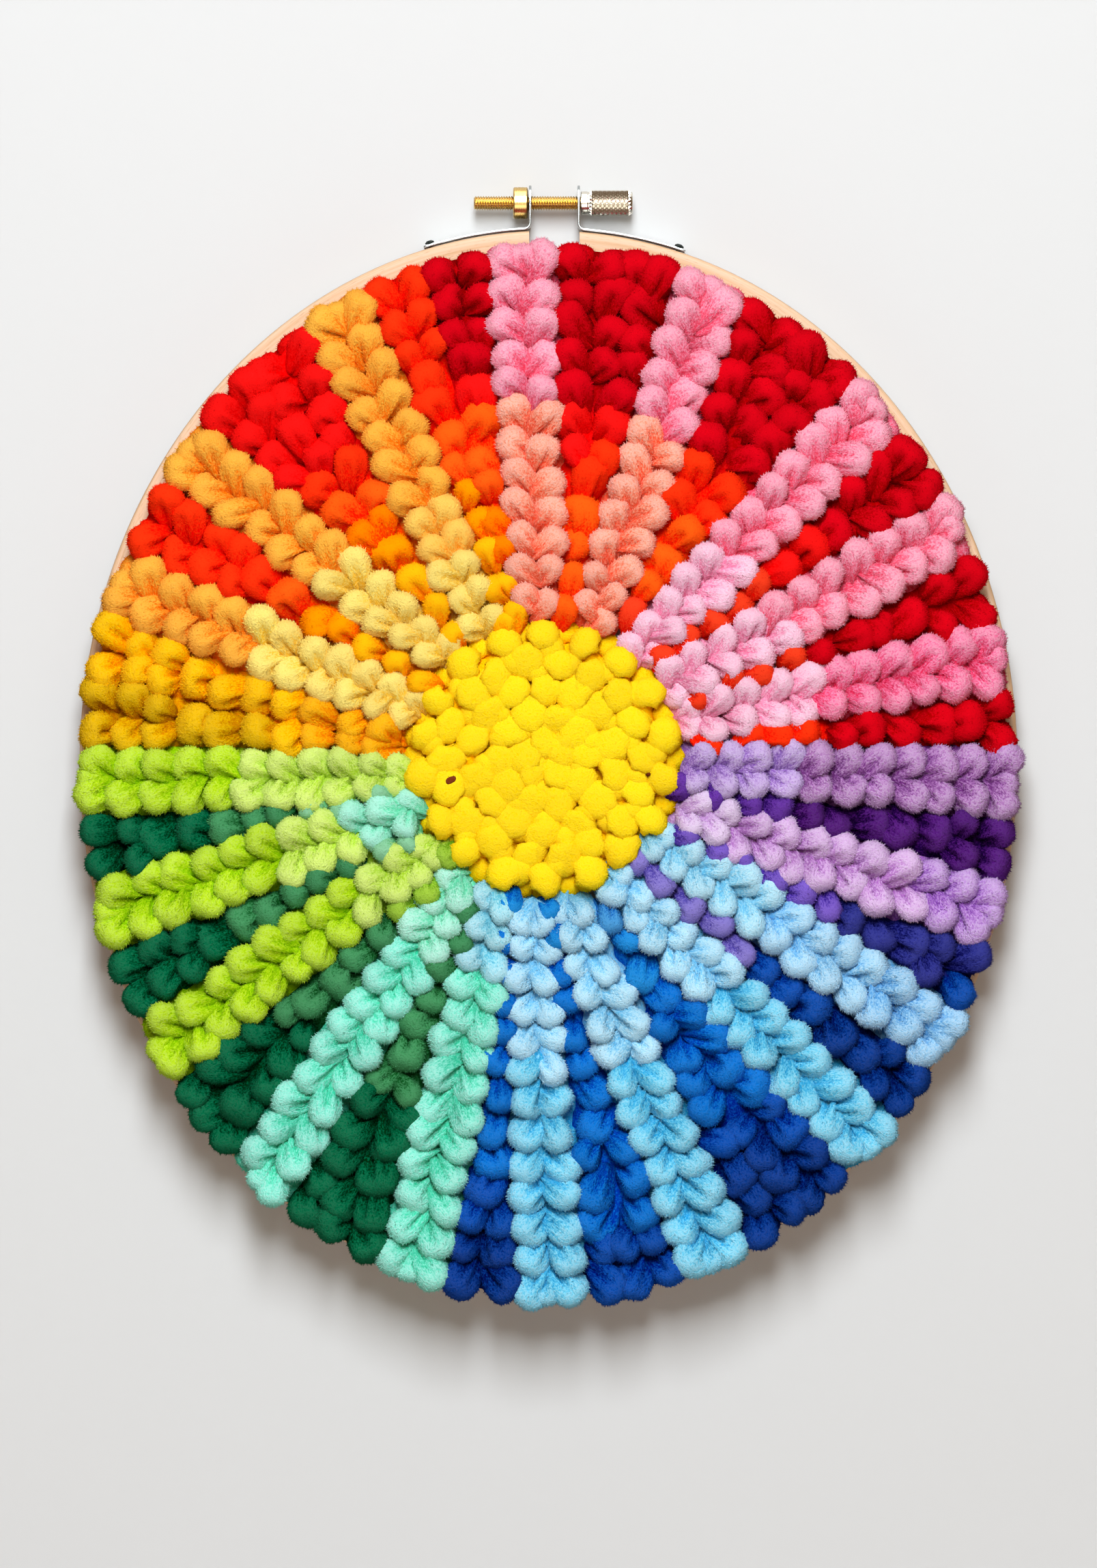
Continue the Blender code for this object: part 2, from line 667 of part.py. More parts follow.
def build_rays(collection):
    for number, ray in enumerate(RAYS, start=1):
        build_field(
            f"ray_{number:02d}",
            collection,
            lambda radius, number=number: ray_edges(number, radius),
            RAY_START,
            (yarn(ray.yarn), yarn(ray.inner_yarn)),
            ray.change,
            seed=number,
        )


def build_grounds(collection):
    for number, ground in enumerate(GROUNDS, start=1):
        build_field(
            f"ground_{number:02d}",
            collection,
            lambda radius, ground=ground: ground_edges(ground, radius),
            ground_start(ground),
            (yarn(ground.yarn), yarn(ground.inner_yarn)),
            ground.change,
            seed=100 + number,
        )


def build_sun(collection):
    """The sun: rings of nubs on a disc, lofted from ring to ring and closed below."""
    work = bmesh.new()
    rings = []
    turns = [math.tau * sector / SUN_SECTORS for sector in range(SUN_SECTORS)]
    foot = [work.verts.new(polar_point(SUN_RADIUS - SUN_NOTCH, turn, 0.0)) for turn in turns]
    rings.append(foot)
    for nubs in SUN_RINGS:
        ring = []
        for sector, turn in enumerate(turns):
            on_nub = sector % nubs.sectors_apart == 0
            notch = SUN_NOTCH if nubs.radius == SUN_RADIUS and not on_nub else 0.0
            height = nubs.nub_height if on_nub else nubs.between_height
            ring.append(work.verts.new(polar_point(nubs.radius - notch, turn, height)))
        rings.append(ring)
    for outer, inner in zip(rings, rings[1:]):
        for sector in range(SUN_SECTORS):
            after = (sector + 1) % SUN_SECTORS
            work.faces.new((outer[sector], outer[after], inner[after], inner[sector]))
    middle = work.verts.new(polar_point(0.0, 0.0, SUN_MIDDLE_HEIGHT))
    for sector in range(SUN_SECTORS):
        after = (sector + 1) % SUN_SECTORS
        work.faces.new((rings[-1][sector], rings[-1][after], middle))
    work.faces.new(foot)
    crease_from_lumps(work)
    mesh = mesh_from(work, "sun")
    add_object("sun", mesh, collection, yarn("yellow"), smooth_angle=math.radians(60))


def main():
    clear_scene()
    piece = new_collection("punch_needle_wall_piece")
    cutters = new_collection("cutters", hidden=True)
    outer_hoop = build_hoop(piece, cutters)
    build_cloth(piece)
    for side, word in ((-1, "left"), (1, "right")):
        strip = build_strip(f"{word}_strip", piece, cutters, side)
        build_brad(f"{word}_brad", piece, cutters, strip, outer_hoop, side)
    build_screw(piece)
    build_sun(piece)
    build_rays(piece)
    build_grounds(piece)


main()
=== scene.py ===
"""The looks of a punch needle wall piece: a sunburst of plush yarn loops in an oval wooden
embroidery hoop, with a steel and brass clamp. Metres, +Z up, the front towards -Y."""

import math
import random
from collections import namedtuple
from functools import partial

import bmesh
import bpy
from bpy.props import FloatProperty, FloatVectorProperty, IntProperty, PointerProperty
from mathutils import Matrix, Vector


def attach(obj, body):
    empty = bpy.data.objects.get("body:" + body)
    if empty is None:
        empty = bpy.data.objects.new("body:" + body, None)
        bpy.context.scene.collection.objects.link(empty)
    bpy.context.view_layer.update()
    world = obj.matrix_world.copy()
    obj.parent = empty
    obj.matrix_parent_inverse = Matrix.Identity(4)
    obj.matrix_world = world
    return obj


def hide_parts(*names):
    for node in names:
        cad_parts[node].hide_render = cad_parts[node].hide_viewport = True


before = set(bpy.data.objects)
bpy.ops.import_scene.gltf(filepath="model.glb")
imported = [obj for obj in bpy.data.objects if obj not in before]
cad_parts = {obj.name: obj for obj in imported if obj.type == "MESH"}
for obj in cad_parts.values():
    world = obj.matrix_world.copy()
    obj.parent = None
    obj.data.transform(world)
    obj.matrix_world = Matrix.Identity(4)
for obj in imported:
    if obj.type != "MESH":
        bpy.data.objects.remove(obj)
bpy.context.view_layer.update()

bl_info = {
    "name": "Punch needle wall piece",
    "version": (1, 0, 0),
    "blender": (4, 5, 0),
    "location": "3D View > Sidebar > Wall piece",
    "description": "Dresses the hoop, its clamp, its cloth and its sunburst of yarn loops",
    "category": "Add Mesh",
}

MM = 0.001
CLEARANCE = 0.3 * MM
FRONT = Vector((0.0, -1.0, 0.0))

# The clamp, as the CAD model has it.
SCREW_HEIGHT = 2.0 * MM
SCREW_DEPTH = -5.0 * MM
SCREW_TIP = -21.9 * MM
SCREW_END = 13.0 * MM
BORE_RADIUS = 2.3 * MM
EAR_PLACE = 6.55 * MM
EAR_TOP = 6.8 * MM
EAR_ROUNDING = 4.3 * MM
STRIP_THICKNESS = 0.7 * MM
STRIP_BEND = 1.8 * MM
STRIP_BACK = -0.5 * MM
STRIP_FRONT = -9.5 * MM
FOOT_REACH = 35.3 * MM
EAR_FACE = EAR_PLACE + STRIP_THICKNESS / 2 + CLEARANCE
NUT_LENGTH = 4.0 * MM
HEAD_END = 21.3 * MM
GROOVE = 0.42 * MM

# The hoop: every line of it is an offset of one oval.
HOOP_CENTRE = Vector((-1.6 * MM, 0.0, -150.1 * MM))
HOOP_HALF_WIDTH = 127.4 * MM
HOOP_HALF_HEIGHT = 144.5 * MM
HOOP_DEPTH = 10.0 * MM
OUTER_WALL = 5.5 * MM
INNER_WALL = 4.5 * MM
CLOTH_THICKNESS = 1.2 * MM
CLOTH_TRIM = 1.2 * MM
CLOTH_FRONT = HOOP_DEPTH + CLEARANCE + CLOTH_THICKNESS
SAWN_HALF_GAP = 6.85 * MM

# The pile: its outline is an oval too, and its rays start at the sun.
PILE_CENTRE = Vector((-1.6 * MM, 0.0, -152.5 * MM))
PILE_HALF_WIDTH = 127.6 * MM
PILE_HALF_HEIGHT = 144.8 * MM
PILE_BACK = -11.8 * MM
SUN_CENTRE = Vector((-2.8 * MM, 0.0, -149.0 * MM))
SUN_RADIUS = 37.4 * MM
FIELD_GAP = 0.5 * MM
RAY_HALF_WIDTH = 5.6 * MM
RAY_SPREAD = 4.0 * MM
RAY_SPREAD_LENGTH = 92.0 * MM

# Loops: the outermost stand END_INSET in from the outline, at the top by TOP_INSET more. A
# field's direction is taken at OUTER_RADIUS. A ray's loops have the first size and gain the
# second by FULL_HALF_WIDTH. Their middles stand off its centre line by PAIR_SHARE of its half
# width, the outermost by PAIR_TURN. Half its width is at most ROOM_SHARE of its part of the
# circle. A ground's loops are as wide as GROUND_LEAST's first, and where it is NARROW_GROUND
# wide its second more. They are no wider and longer than GROUND_MOST. Its rows bend with the
# pile's outline from BEND_START outwards. The low loops under the rim and the one that closes
# a ray's end as a fan have a width, a thickness and a length.
OUTER_RADIUS = 120 * MM
END_INSET = 6.2 * MM
TOP_INSET = 1.7 * MM
FULL_HALF_WIDTH = 9.6 * MM
RAY_LOOP_WIDTH = (5.8 * MM, 5.3 * MM)
RAY_LOOP_LENGTH = (7.0 * MM, 8.2 * MM)
PAIR_SHARE = 0.36
PAIR_TURN = math.radians(2.2)
ROOM_SHARE = 0.36
GROUND_COLUMN = 8.7 * MM
GROUND_LEAST = (7.6 * MM, 1.4 * MM)
GROUND_MOST = (12.6 * MM, 14.6 * MM)
NARROW_GROUND = 4.0 * MM
BEND_START = 80 * MM
BEND_LENGTH = 60 * MM
RIM_COLUMN = 9.3 * MM
LOW_LOOP = (11.0 * MM, 7.4 * MM, 10.0 * MM)
LOW_LOOP_INSET = 6.6 * MM
LOW_LOOP_HEIGHT = 7.6 * MM
FAN_LOOP = (10.0 * MM, 7.4 * MM, 11.6 * MM)
FAN_LOOP_HEIGHT = 12.4 * MM

# The sun's rings: each one's radius, its number of nubs, their half width and their height.
SUN_RINGS = (
    (SUN_RADIUS - 4.5 * MM, 18, 6.1 * MM, 13.2 * MM),
    (26.4 * MM, 18, 6.2 * MM, 12.9 * MM),
    (19.4 * MM, 14, 6.5 * MM, 12.8 * MM),
    (12.2 * MM, 10, 6.5 * MM, 12.8 * MM),
    (5.0 * MM, 5, 6.2 * MM, 12.8 * MM),
)
SUN_LOW_NUBS = 36
SUN_FILL_NUBS = 60
SUN_FILL_RADIUS = 31.0 * MM

# A stitch on the cloth's back: half its length and width, and how far inside the hoop's oval
# its middle stays.
STITCH_HALF_LENGTH = 4.3 * MM
STITCH_HALF_WIDTH = 1.9 * MM
STITCH_INSET = 15.5 * MM
STITCH_SIDES = 6

YARNS = {
    "yellow": "FFD608",
    "brown": "7A3208",
    "pink": "F98FA9",
    "salmon": "FF9C7C",
    "light_pink": "FABAD2",
    "rose": "F2709B",
    "lilac": "B278B8",
    "pale_lilac": "C2A0DA",
    "orchid": "C08ED6",
    "light_orchid": "D5A8DC",
    "pale_orchid": "DDBFE3",
    "periwinkle": "92C6E8",
    "light_blue": "A2D4F0",
    "pale_aqua": "A8DDF0",
    "sky": "70CEEA",
    "pale_sky": "ABDFF5",
    "mint": "84E8D0",
    "pale_mint": "A8F0D6",
    "aqua": "9FDDEA",
    "lime": "BCDE18",
    "pale_lime": "D2EA6C",
    "apricot": "FFB03C",
    "light_apricot": "FFC658",
    "pale_yellow": "FFDF74",
    "crimson": "CC0314",
    "red": "EE1412",
    "vermilion": "FA320C",
    "coral": "EE3C1C",
    "flame": "FF5A10",
    "orange": "FF7A00",
    "light_orange": "FF9400",
    "amber": "FFB40A",
    "purple": "541A76",
    "mid_purple": "65329C",
    "violet": "7C5CC4",
    "indigo": "30348A",
    "navy": "063A8C",
    "royal": "084EAA",
    "lavender": "8A7CCB",
    "blue": "0A74CC",
    "azure": "1C8EDA",
    "light_azure": "4C9EDA",
    "dark_green": "006842",
    "mid_green": "43905A",
    "grass": "A0C83C",
    "pale_green": "8FCFA0",
    "mustard": "E6B400",
    "gold": "FFC000",
}

# A ray's centre line points at aim, in degrees clockwise from the top, and passes the sun's
# centre at the distance miss, in millimetres. Its yarns are (millimetres from the sun's
# centre, colour): each colour holds from the rim in to its own distance. One column of loops
# is shifted by stagger.
Ray = namedtuple("Ray", "slot aim miss stagger yarns")
PINKS = ((72, "pink"), (0, "light_pink"))
ORCHIDS = ((105, "orchid"), (55, "light_orchid"), (0, "pale_orchid"))
PERIWINKLES = ((110, "periwinkle"), (70, "light_blue"), (0, "pale_aqua"))
SKIES = ((83, "sky"), (0, "pale_sky"))
LIMES = ((75, "lime"), (54, "pale_lime"), (0, "pale_mint"))
APRICOTS = ((74, "apricot"), (61, "light_apricot"), (0, "pale_yellow"))
RAYS = (
    Ray("pink_yarn", -2.5, 0.0, 0.1, ((93, "pink"), (0, "salmon"))),
    Ray("pink_yarn", 19.6, 0.0, 0.3, ((94, "pink"), (0, "salmon"))),
    Ray("pink_yarn", 44.0, -1.6, 0.4, ((76, "pink"), (0, "light_pink"))),
    Ray("pink_yarn", 60.7, -0.5, 0.5, PINKS),
    Ray("rose_yarn", 79.3, -4.0, 0.3, ((72, "rose"), (0, "light_pink"))),
    Ray("lilac_yarn", 93.0, 0.0, 0.0, ((70, "lilac"), (0, "pale_lilac"))),
    Ray("orchid_yarn", 107.7, 3.0, 0.4, ORCHIDS),
    Ray("periwinkle_yarn", 125.0, 0.0, 0.2, PERIWINKLES),
    Ray("sky_yarn", 135.8, 9.0, 0.45, ((80, "sky"), (0, "pale_sky"))),
    Ray("sky_yarn", 157.2, 9.6, 0.2, SKIES),
    Ray("sky_yarn", 176.2, 7.2, 0.0, SKIES),
    Ray("mint_yarn", 193.3, 3.0, 0.0, ((62, "mint"), (0, "aqua"))),
    Ray("mint_yarn", 214.0, 0.0, 0.3, ((61, "mint"), (0, "pale_mint"))),
    Ray("lime_yarn", 233.0, -0.6, 0.5, ((60, "lime"), (0, "pale_lime"))),
    Ray("lime_yarn", 251.4, -2.0, 0.3, LIMES),
    Ray("lime_yarn", 269.3, -4.5, 0.1, ((83, "lime"), (0, "pale_lime"))),
    Ray("apricot_yarn", 293.0, -1.2, 0.5, ((87, "apricot"), (0, "pale_yellow"))),
    Ray("apricot_yarn", 308.8, 4.2, 0.4, ((74, "apricot"), (0, "pale_yellow"))),
    Ray("apricot_yarn", 335.0, 0.0, 0.1, APRICOTS),
)

# A ground fills the space clockwise of a ray, or the share of it from begin to end.
Ground = namedtuple("Ground", "slot after_ray yarns begin end", defaults=(0.0, 1.0))
REDS = ((96, "crimson"), (81, "red"), (70, "vermilion"), (0, "flame"))
FLAMES = ((90, "crimson"), (74, "vermilion"), (52, "flame"), (0, "coral"))
CORALS = ((93, "crimson"), (74, "red"), (0, "coral"))
INDIGOS = ((128, "royal"), (90, "indigo"), (0, "violet"))
NAVIES = ((98, "navy"), (74, "royal"), (0, "lavender"))
BLUES = ((117, "navy"), (105, "royal"), (70, "blue"), (50, "azure"), (0, "light_azure"))
DEEP_BLUES = ((133, "navy"), (112, "royal"), (46, "blue"), (0, "azure"))
GREENS = ((96, "dark_green"), (58, "mid_green"), (0, "grass"))
SEA_GREENS = ((94, "dark_green"), (57, "mid_green"), (0, "pale_green"))
LEAF_GREENS = ((96, "dark_green"), (68, "mid_green"), (0, "pale_green"))
ORANGES = ((88, "vermilion"), (80, "flame"), (72, "orange"), (58, "light_orange"), (0, "amber"))
SUNSETS = ((104, "crimson"), (93, "red"), (68, "flame"), (55, "orange"), (0, "amber"))
GROUNDS = (
    Ground("crimson_yarn", 1, REDS),
    Ground("crimson_yarn", 2, FLAMES),
    Ground("crimson_yarn", 3, CORALS),
    Ground("crimson_yarn", 4, ((78, "crimson"), (0, "coral"))),
    Ground("crimson_yarn", 5, ((78, "crimson"), (0, "vermilion"))),
    Ground("purple_yarn", 6, ((66, "purple"), (0, "mid_purple"))),
    Ground("indigo_yarn", 7, INDIGOS),
    Ground("navy_yarn", 8, NAVIES),
    Ground("navy_yarn", 9, BLUES),
    Ground("navy_yarn", 10, ((130, "royal"), (55, "blue"), (0, "azure"))),
    Ground("navy_yarn", 11, DEEP_BLUES),
    Ground("dark_green_yarn", 12, ((98, "dark_green"), (0, "mid_green"))),
    Ground("dark_green_yarn", 13, GREENS),
    Ground("dark_green_yarn", 14, SEA_GREENS),
    Ground("dark_green_yarn", 15, LEAF_GREENS),
    Ground("mustard_yarn", 16, ((78, "mustard"), (63, "gold"), (0, "amber")), 0.0, 0.5),
    Ground("gold_yarn", 16, ((63, "gold"), (0, "amber")), 0.5, 1.0),
    Ground("vermilion_yarn", 17, ORANGES),
    Ground("vermilion_yarn", 18, ((96, "red"), *ORANGES)),
    Ground("vermilion_yarn", 19, ORANGES, 0.0, 0.5),
    Ground("crimson_yarn", 19, SUNSETS, 0.5, 1.0),
)

# One loop: where its middle is, which way its head and its side point, half its width,
# thickness and length, and its yarn.
Loop = namedtuple("Loop", "place axis aside half_sizes yarn")


def linear(level):
    """One sRGB channel, 0 to 1, as linear light."""
    if level <= 0.04045:
        return level / 12.92
    return ((level + 0.055) / 1.055) ** 2.4


def hex_colour(code):
    """An sRGB hex colour as linear RGBA."""
    channels = [int(code[place : place + 2], 16) / 255 for place in (0, 2, 4)]
    return (*[linear(channel) for channel in channels], 1.0)


def measure(name, description, default, **kind):
    """A number to set on the panel."""
    return FloatProperty(name=name, description=description, default=default, **kind)


def colour(name, description, code):
    """A colour to set on the panel."""
    return FloatVectorProperty(
        name=name, description=description, default=hex_colour(code), size=4, subtype="COLOR"
    )


class HoopSettings(bpy.types.PropertyGroup):
    """The wooden rings and the cloth between them."""

    edge: measure("Rounded edge", "Radius of the rings' rounded edges", 1.1 * MM, unit="LENGTH")
    steps: IntProperty(name="Steps", description="Sections round each ring", default=240)
    wood: colour("Beech", "Colour of the pale beech", "E5BF9A")
    wood_grain: colour("Beech grain", "Colour of the darker lines in the beech", "D29E66")
    cloth: colour("Cotton", "Colour of the cotton cloth", "EFEDE6")


class ClampSettings(bpy.types.PropertyGroup):
    """The screw, its fittings and the steel strips."""

    screw_radius: measure("Screw radius", "Outer radius of the thread", 2.0 * MM, unit="LENGTH")
    thread_pitch: measure(
        "Thread pitch", "Distance from one crest of the thread to the next", 0.7 * MM, unit="LENGTH"
    )
    head_radius: measure("Head radius", "Outer radius of the knurled head", 3.5 * MM, unit="LENGTH")
    knurls: IntProperty(name="Knurls", description="Diamonds round the knurled head", default=20)
    brass: colour("Brass", "Colour of the turned brass", "D8B978")
    nickel: colour("Nickel", "Colour of the nickel plate", "E6E0D4")
    steel: colour("Steel", "Colour of the zinc plated steel", "B4B8B8")


class PileSettings(bpy.types.PropertyGroup):
    """The loops of yarn and the fibres on them."""

    pitch: measure(
        "Pitch", "Distance from one pair of loops to the next on a ray", 8.5 * MM, unit="LENGTH"
    )
    ray_height: measure(
        "Ray height", "Height of the rays' loops above the cloth", 13.6 * MM, unit="LENGTH"
    )
    ground_height: measure(
        "Ground height", "Height of the grounds' loops above the cloth", 13.0 * MM, unit="LENGTH"
    )
    tilt: measure("Splay", "Angle of a loop to its ray", math.radians(41.0), subtype="ANGLE")
    lift: measure("Lift", "Angle of a loop to the cloth", math.radians(19.0), subtype="ANGLE")
    fibre_length: measure(
        "Fibre length", "Length of a fibre outside its loop", 0.7 * MM, unit="LENGTH"
    )
    fibre_radius: measure("Fibre radius", "Radius of a fibre at its foot", 0.13 * MM, unit="LENGTH")
    fibres: measure("Fibres", "Fibres on a square metre of a loop's front", 3.7e6)


class StageSettings(bpy.types.PropertyGroup):
    """The wall, the floor and the lights."""

    wall: colour("Wall", "Colour of the wall and the floor", "D5D4D2")
    key_power: measure("Key light", "Power of the light above the front", 31.0, unit="POWER")
    fill_power: measure("Fill light", "Power of the light from the front", 3.1, unit="POWER")


def compass(turn):
    """The way outwards and the way clockwise, at a clockwise turn about the sun."""
    sine, cosine = math.sin(turn), math.cos(turn)
    return Vector((sine, 0.0, cosine)), Vector((cosine, 0.0, -sine))


def polar_point(radius, turn, height):
    """A point of the pile: radius and clockwise turn about the sun, height above the cloth."""
    outwards, _ = compass(turn)
    return SUN_CENTRE + outwards * radius + Vector((0.0, PILE_BACK - height, 0.0))


def rim_radius(turn):
    """How far the pile's oval outline is from the sun's centre in one direction."""
    toward = Vector((math.sin(turn) / PILE_HALF_WIDTH, math.cos(turn) / PILE_HALF_HEIGHT))
    apart = SUN_CENTRE - PILE_CENTRE
    start = Vector((apart.x / PILE_HALF_WIDTH, apart.z / PILE_HALF_HEIGHT))
    square = toward.dot(toward)
    half_linear = toward.dot(start)
    rest = start.dot(start) - 1.0
    return (math.sqrt(half_linear**2 - square * rest) - half_linear) / square


def pile_end(turn):
    """Where the outermost loops stand. At the top the pile leaves more of the wood free."""
    return rim_radius(turn) - END_INSET - TOP_INSET * max(0.0, math.cos(turn))


def ray_turn(number, radius):
    """The angle of a ray's centre line at a radius. Ray numbers go round past both ends."""
    laps, place = divmod(number - 1, len(RAYS))
    ray = RAYS[place]
    return math.radians(ray.aim + 360.0 * laps) + math.asin(ray.miss * MM / radius)


def ray_edges(number, radius):
    """Both edges of a ray at a radius. Where rays crowd near the sun they share the room."""
    spread = math.sqrt(max(0.0, radius - SUN_RADIUS) / RAY_SPREAD_LENGTH)
    half = (RAY_HALF_WIDTH + RAY_SPREAD * spread) / radius
    room = FIELD_GAP / 2 / radius
    before, centre, after = [ray_turn(number + step, radius) for step in (-1, 0, 1)]
    first = max(centre - half, (before + centre) / 2 + room)
    last = min(centre + half, (centre + after) / 2 - room)
    return first, last


def ground_edges(ground, radius):
    """Both edges of a ground at a radius, clear of the rays on its sides."""
    first = ray_edges(ground.after_ray, radius)[1]
    last = ray_edges(ground.after_ray + 1, radius)[0]
    width = last - first
    return first + width * ground.begin, first + width * ground.end


def yarn_at(yarns, radius, uneven):
    """The yarn that a field has at a radius. Where it changes, loops of both mix a little."""
    distance = radius / MM + uneven.uniform(-2.0, 2.0)
    for inner_end, name in yarns:
        if distance > inner_end:
            return name
    return yarns[-1][1]


def field_loop(radius, turn, splay, lift, roll, height, sizes, yarn):
    """A loop of a ray or a ground: its head points outwards, splayed to one side and lifted.
    Its height is that of its highest point, and sizes are its width, thickness and length."""
    _, half_thickness, half_length = half_sizes = tuple(size / 2 for size in sizes)
    outwards, clockwise = compass(turn)
    flat = outwards * math.cos(splay) + clockwise * math.sin(splay)
    axis = flat * math.cos(lift) + FRONT * math.sin(lift)
    aside = flat.cross(FRONT)
    aside = aside * math.cos(roll) + axis.cross(aside) * math.sin(roll)
    reach = math.hypot(half_length * math.sin(lift), half_thickness * math.cos(lift))
    return Loop(polar_point(radius, turn, height - reach), axis, aside, half_sizes, yarn)


def rim_loops(edges, columns, yarns, uneven):
    """A low row of loops under the pile's rim, which closes its side."""
    loops = []
    for column in range(columns):
        radius = OUTER_RADIUS
        for _ in range(3):
            first, last = edges(radius)
            turn = first + (last - first) * ((column + 0.5) / columns)
            radius = rim_radius(turn) - LOW_LOOP_INSET
        width = min(LOW_LOOP[0], (last - first) * radius / columns * 1.15)
        sizes = (width, *LOW_LOOP[1:])
        splay = uneven.uniform(-0.2, 0.2)
        yarn = yarn_at(yarns, radius, uneven)
        loops.append(field_loop(radius, turn, splay, 0.0, 0.0, LOW_LOOP_HEIGHT, sizes, yarn))
    return loops


def ray_loops(number, pile):
    """The loops of a ray: pairs from the rim in to the sun, splayed to both sides."""
    ray = RAYS[number - 1]
    uneven = random.Random(100 + number)
    edges = partial(ray_edges, number)
    loops = []
    for side in (-1, 1):
        turn = ray_turn(number, OUTER_RADIUS) + side * PAIR_TURN
        radius = pile_end(turn)
        if side > 0:
            radius -= ray.stagger * pile.pitch
        while radius > SUN_RADIUS - 1.0 * MM:
            first, last = edges(radius)
            middle = (first + last) / 2
            half = min((last - first) / 2 * radius, ROOM_SHARE * math.tau * radius / len(RAYS))
            full = half / FULL_HALF_WIDTH
            width = (RAY_LOOP_WIDTH[0] + RAY_LOOP_WIDTH[1] * full) * uneven.uniform(0.9, 1.12)
            length = (RAY_LOOP_LENGTH[0] + RAY_LOOP_LENGTH[1] * full) * uneven.uniform(0.9, 1.1)
            turn = middle + side * PAIR_SHARE * half / radius
            turn += uneven.uniform(-0.7, 0.7) * MM / radius
            splay = side * (pile.tilt + uneven.uniform(-0.35, 0.25))
            height = pile.ray_height + uneven.uniform(-0.9, 0.6) * MM
            height -= 1.8 * MM * (radius < SUN_RADIUS + 3.0 * MM)
            yarn = yarn_at(ray.yarns, radius, uneven)
            sizes = (width, width * uneven.uniform(0.72, 0.86), length)
            lift = pile.lift + uneven.uniform(-0.15, 0.15)
            roll = uneven.uniform(-0.3, 0.3)
            place = radius + uneven.uniform(-0.7, 0.7) * MM
            loops.append(field_loop(place, turn, splay, lift, roll, height, sizes, yarn))
            radius -= pile.pitch * (0.74 + 0.26 * full) * uneven.uniform(0.95, 1.05)
    # One more loop between the outermost two closes the ray's end as a fan.
    turn = ray_turn(number, OUTER_RADIUS)
    radius = pile_end(turn) + 0.6 * MM
    splay = uneven.uniform(-0.2, 0.2)
    yarn = ray.yarns[0][1]
    loops.append(field_loop(radius, turn, splay, 0.25, 0.0, FAN_LOOP_HEIGHT, FAN_LOOP, yarn))
    return loops + rim_loops(edges, 2, ray.yarns, uneven)


def ground_loops(number, pile):
    """The loops of a ground: as many columns as its width takes at each row."""
    ground = GROUNDS[number - 1]
    uneven = random.Random(300 + number)
    edges = partial(ground_edges, ground)
    loops = []
    first, last = edges(OUTER_RADIUS)
    row_radius = pile_end((first + last) / 2)
    row = 0
    while row_radius > SUN_RADIUS:
        first, last = edges(row_radius)
        wide = (last - first) * row_radius
        columns = max(1, round(wide / GROUND_COLUMN))
        least = GROUND_LEAST[0] + GROUND_LEAST[1] * min(1.0, wide / NARROW_GROUND)
        for column in range(columns):
            turn = first + (last - first) * ((column + 0.5) / columns)
            pull = rim_radius(turn) - rim_radius((first + last) / 2)
            radius = row_radius + pull * max(0.0, (row_radius - BEND_START) / BEND_LENGTH)
            if row > 0:
                radius += uneven.uniform(-1.6, 1.6) * MM
            side = -1 if (column + row * (columns == 1)) % 2 == 0 else 1
            splay = side * (pile.tilt * min(1.0, columns - 0.4) + uneven.uniform(-0.6, 0.35))
            width = min(GROUND_MOST[0], max(least, wide / columns * 1.38))
            length = min(GROUND_MOST[1], max(least * 1.27, width * 1.22))
            width *= uneven.uniform(0.86, 1.12)
            length *= uneven.uniform(0.88, 1.12)
            turn += uneven.uniform(-1.1, 1.1) * MM / radius
            height = pile.ground_height + uneven.uniform(-1.4, 0.9) * MM
            if wide < NARROW_GROUND:
                height = pile.ground_height + uneven.uniform(-0.6, 0.4) * MM
            lift = pile.lift + uneven.uniform(-0.15, 0.35)
            roll = uneven.uniform(-0.5, 0.5)
            yarn = yarn_at(ground.yarns, radius, uneven)
            sizes = (width, width * uneven.uniform(0.76, 0.95), length)
            loops.append(field_loop(radius, turn, splay, lift, roll, height, sizes, yarn))
        row_radius -= pile.pitch * uneven.uniform(0.96, 1.04)
        row += 1
    first, last = edges(OUTER_RADIUS)
    columns = max(1, round((last - first) * rim_radius(first) / RIM_COLUMN))
    return loops + rim_loops(edges, columns, ground.yarns, uneven)


def nub(radius, turn, height, half_sizes, lean, spin, yarn="yellow"):
    """A round loop of the sun, which stands up from the cloth and leans a little."""
    outwards, clockwise = compass(turn)
    toward = outwards * math.cos(spin) + clockwise * math.sin(spin)
    axis = FRONT * math.cos(lean) + toward * math.sin(lean)
    place = polar_point(radius, turn, height - half_sizes[2])
    return Loop(place, axis, toward.cross(FRONT), half_sizes, yarn)


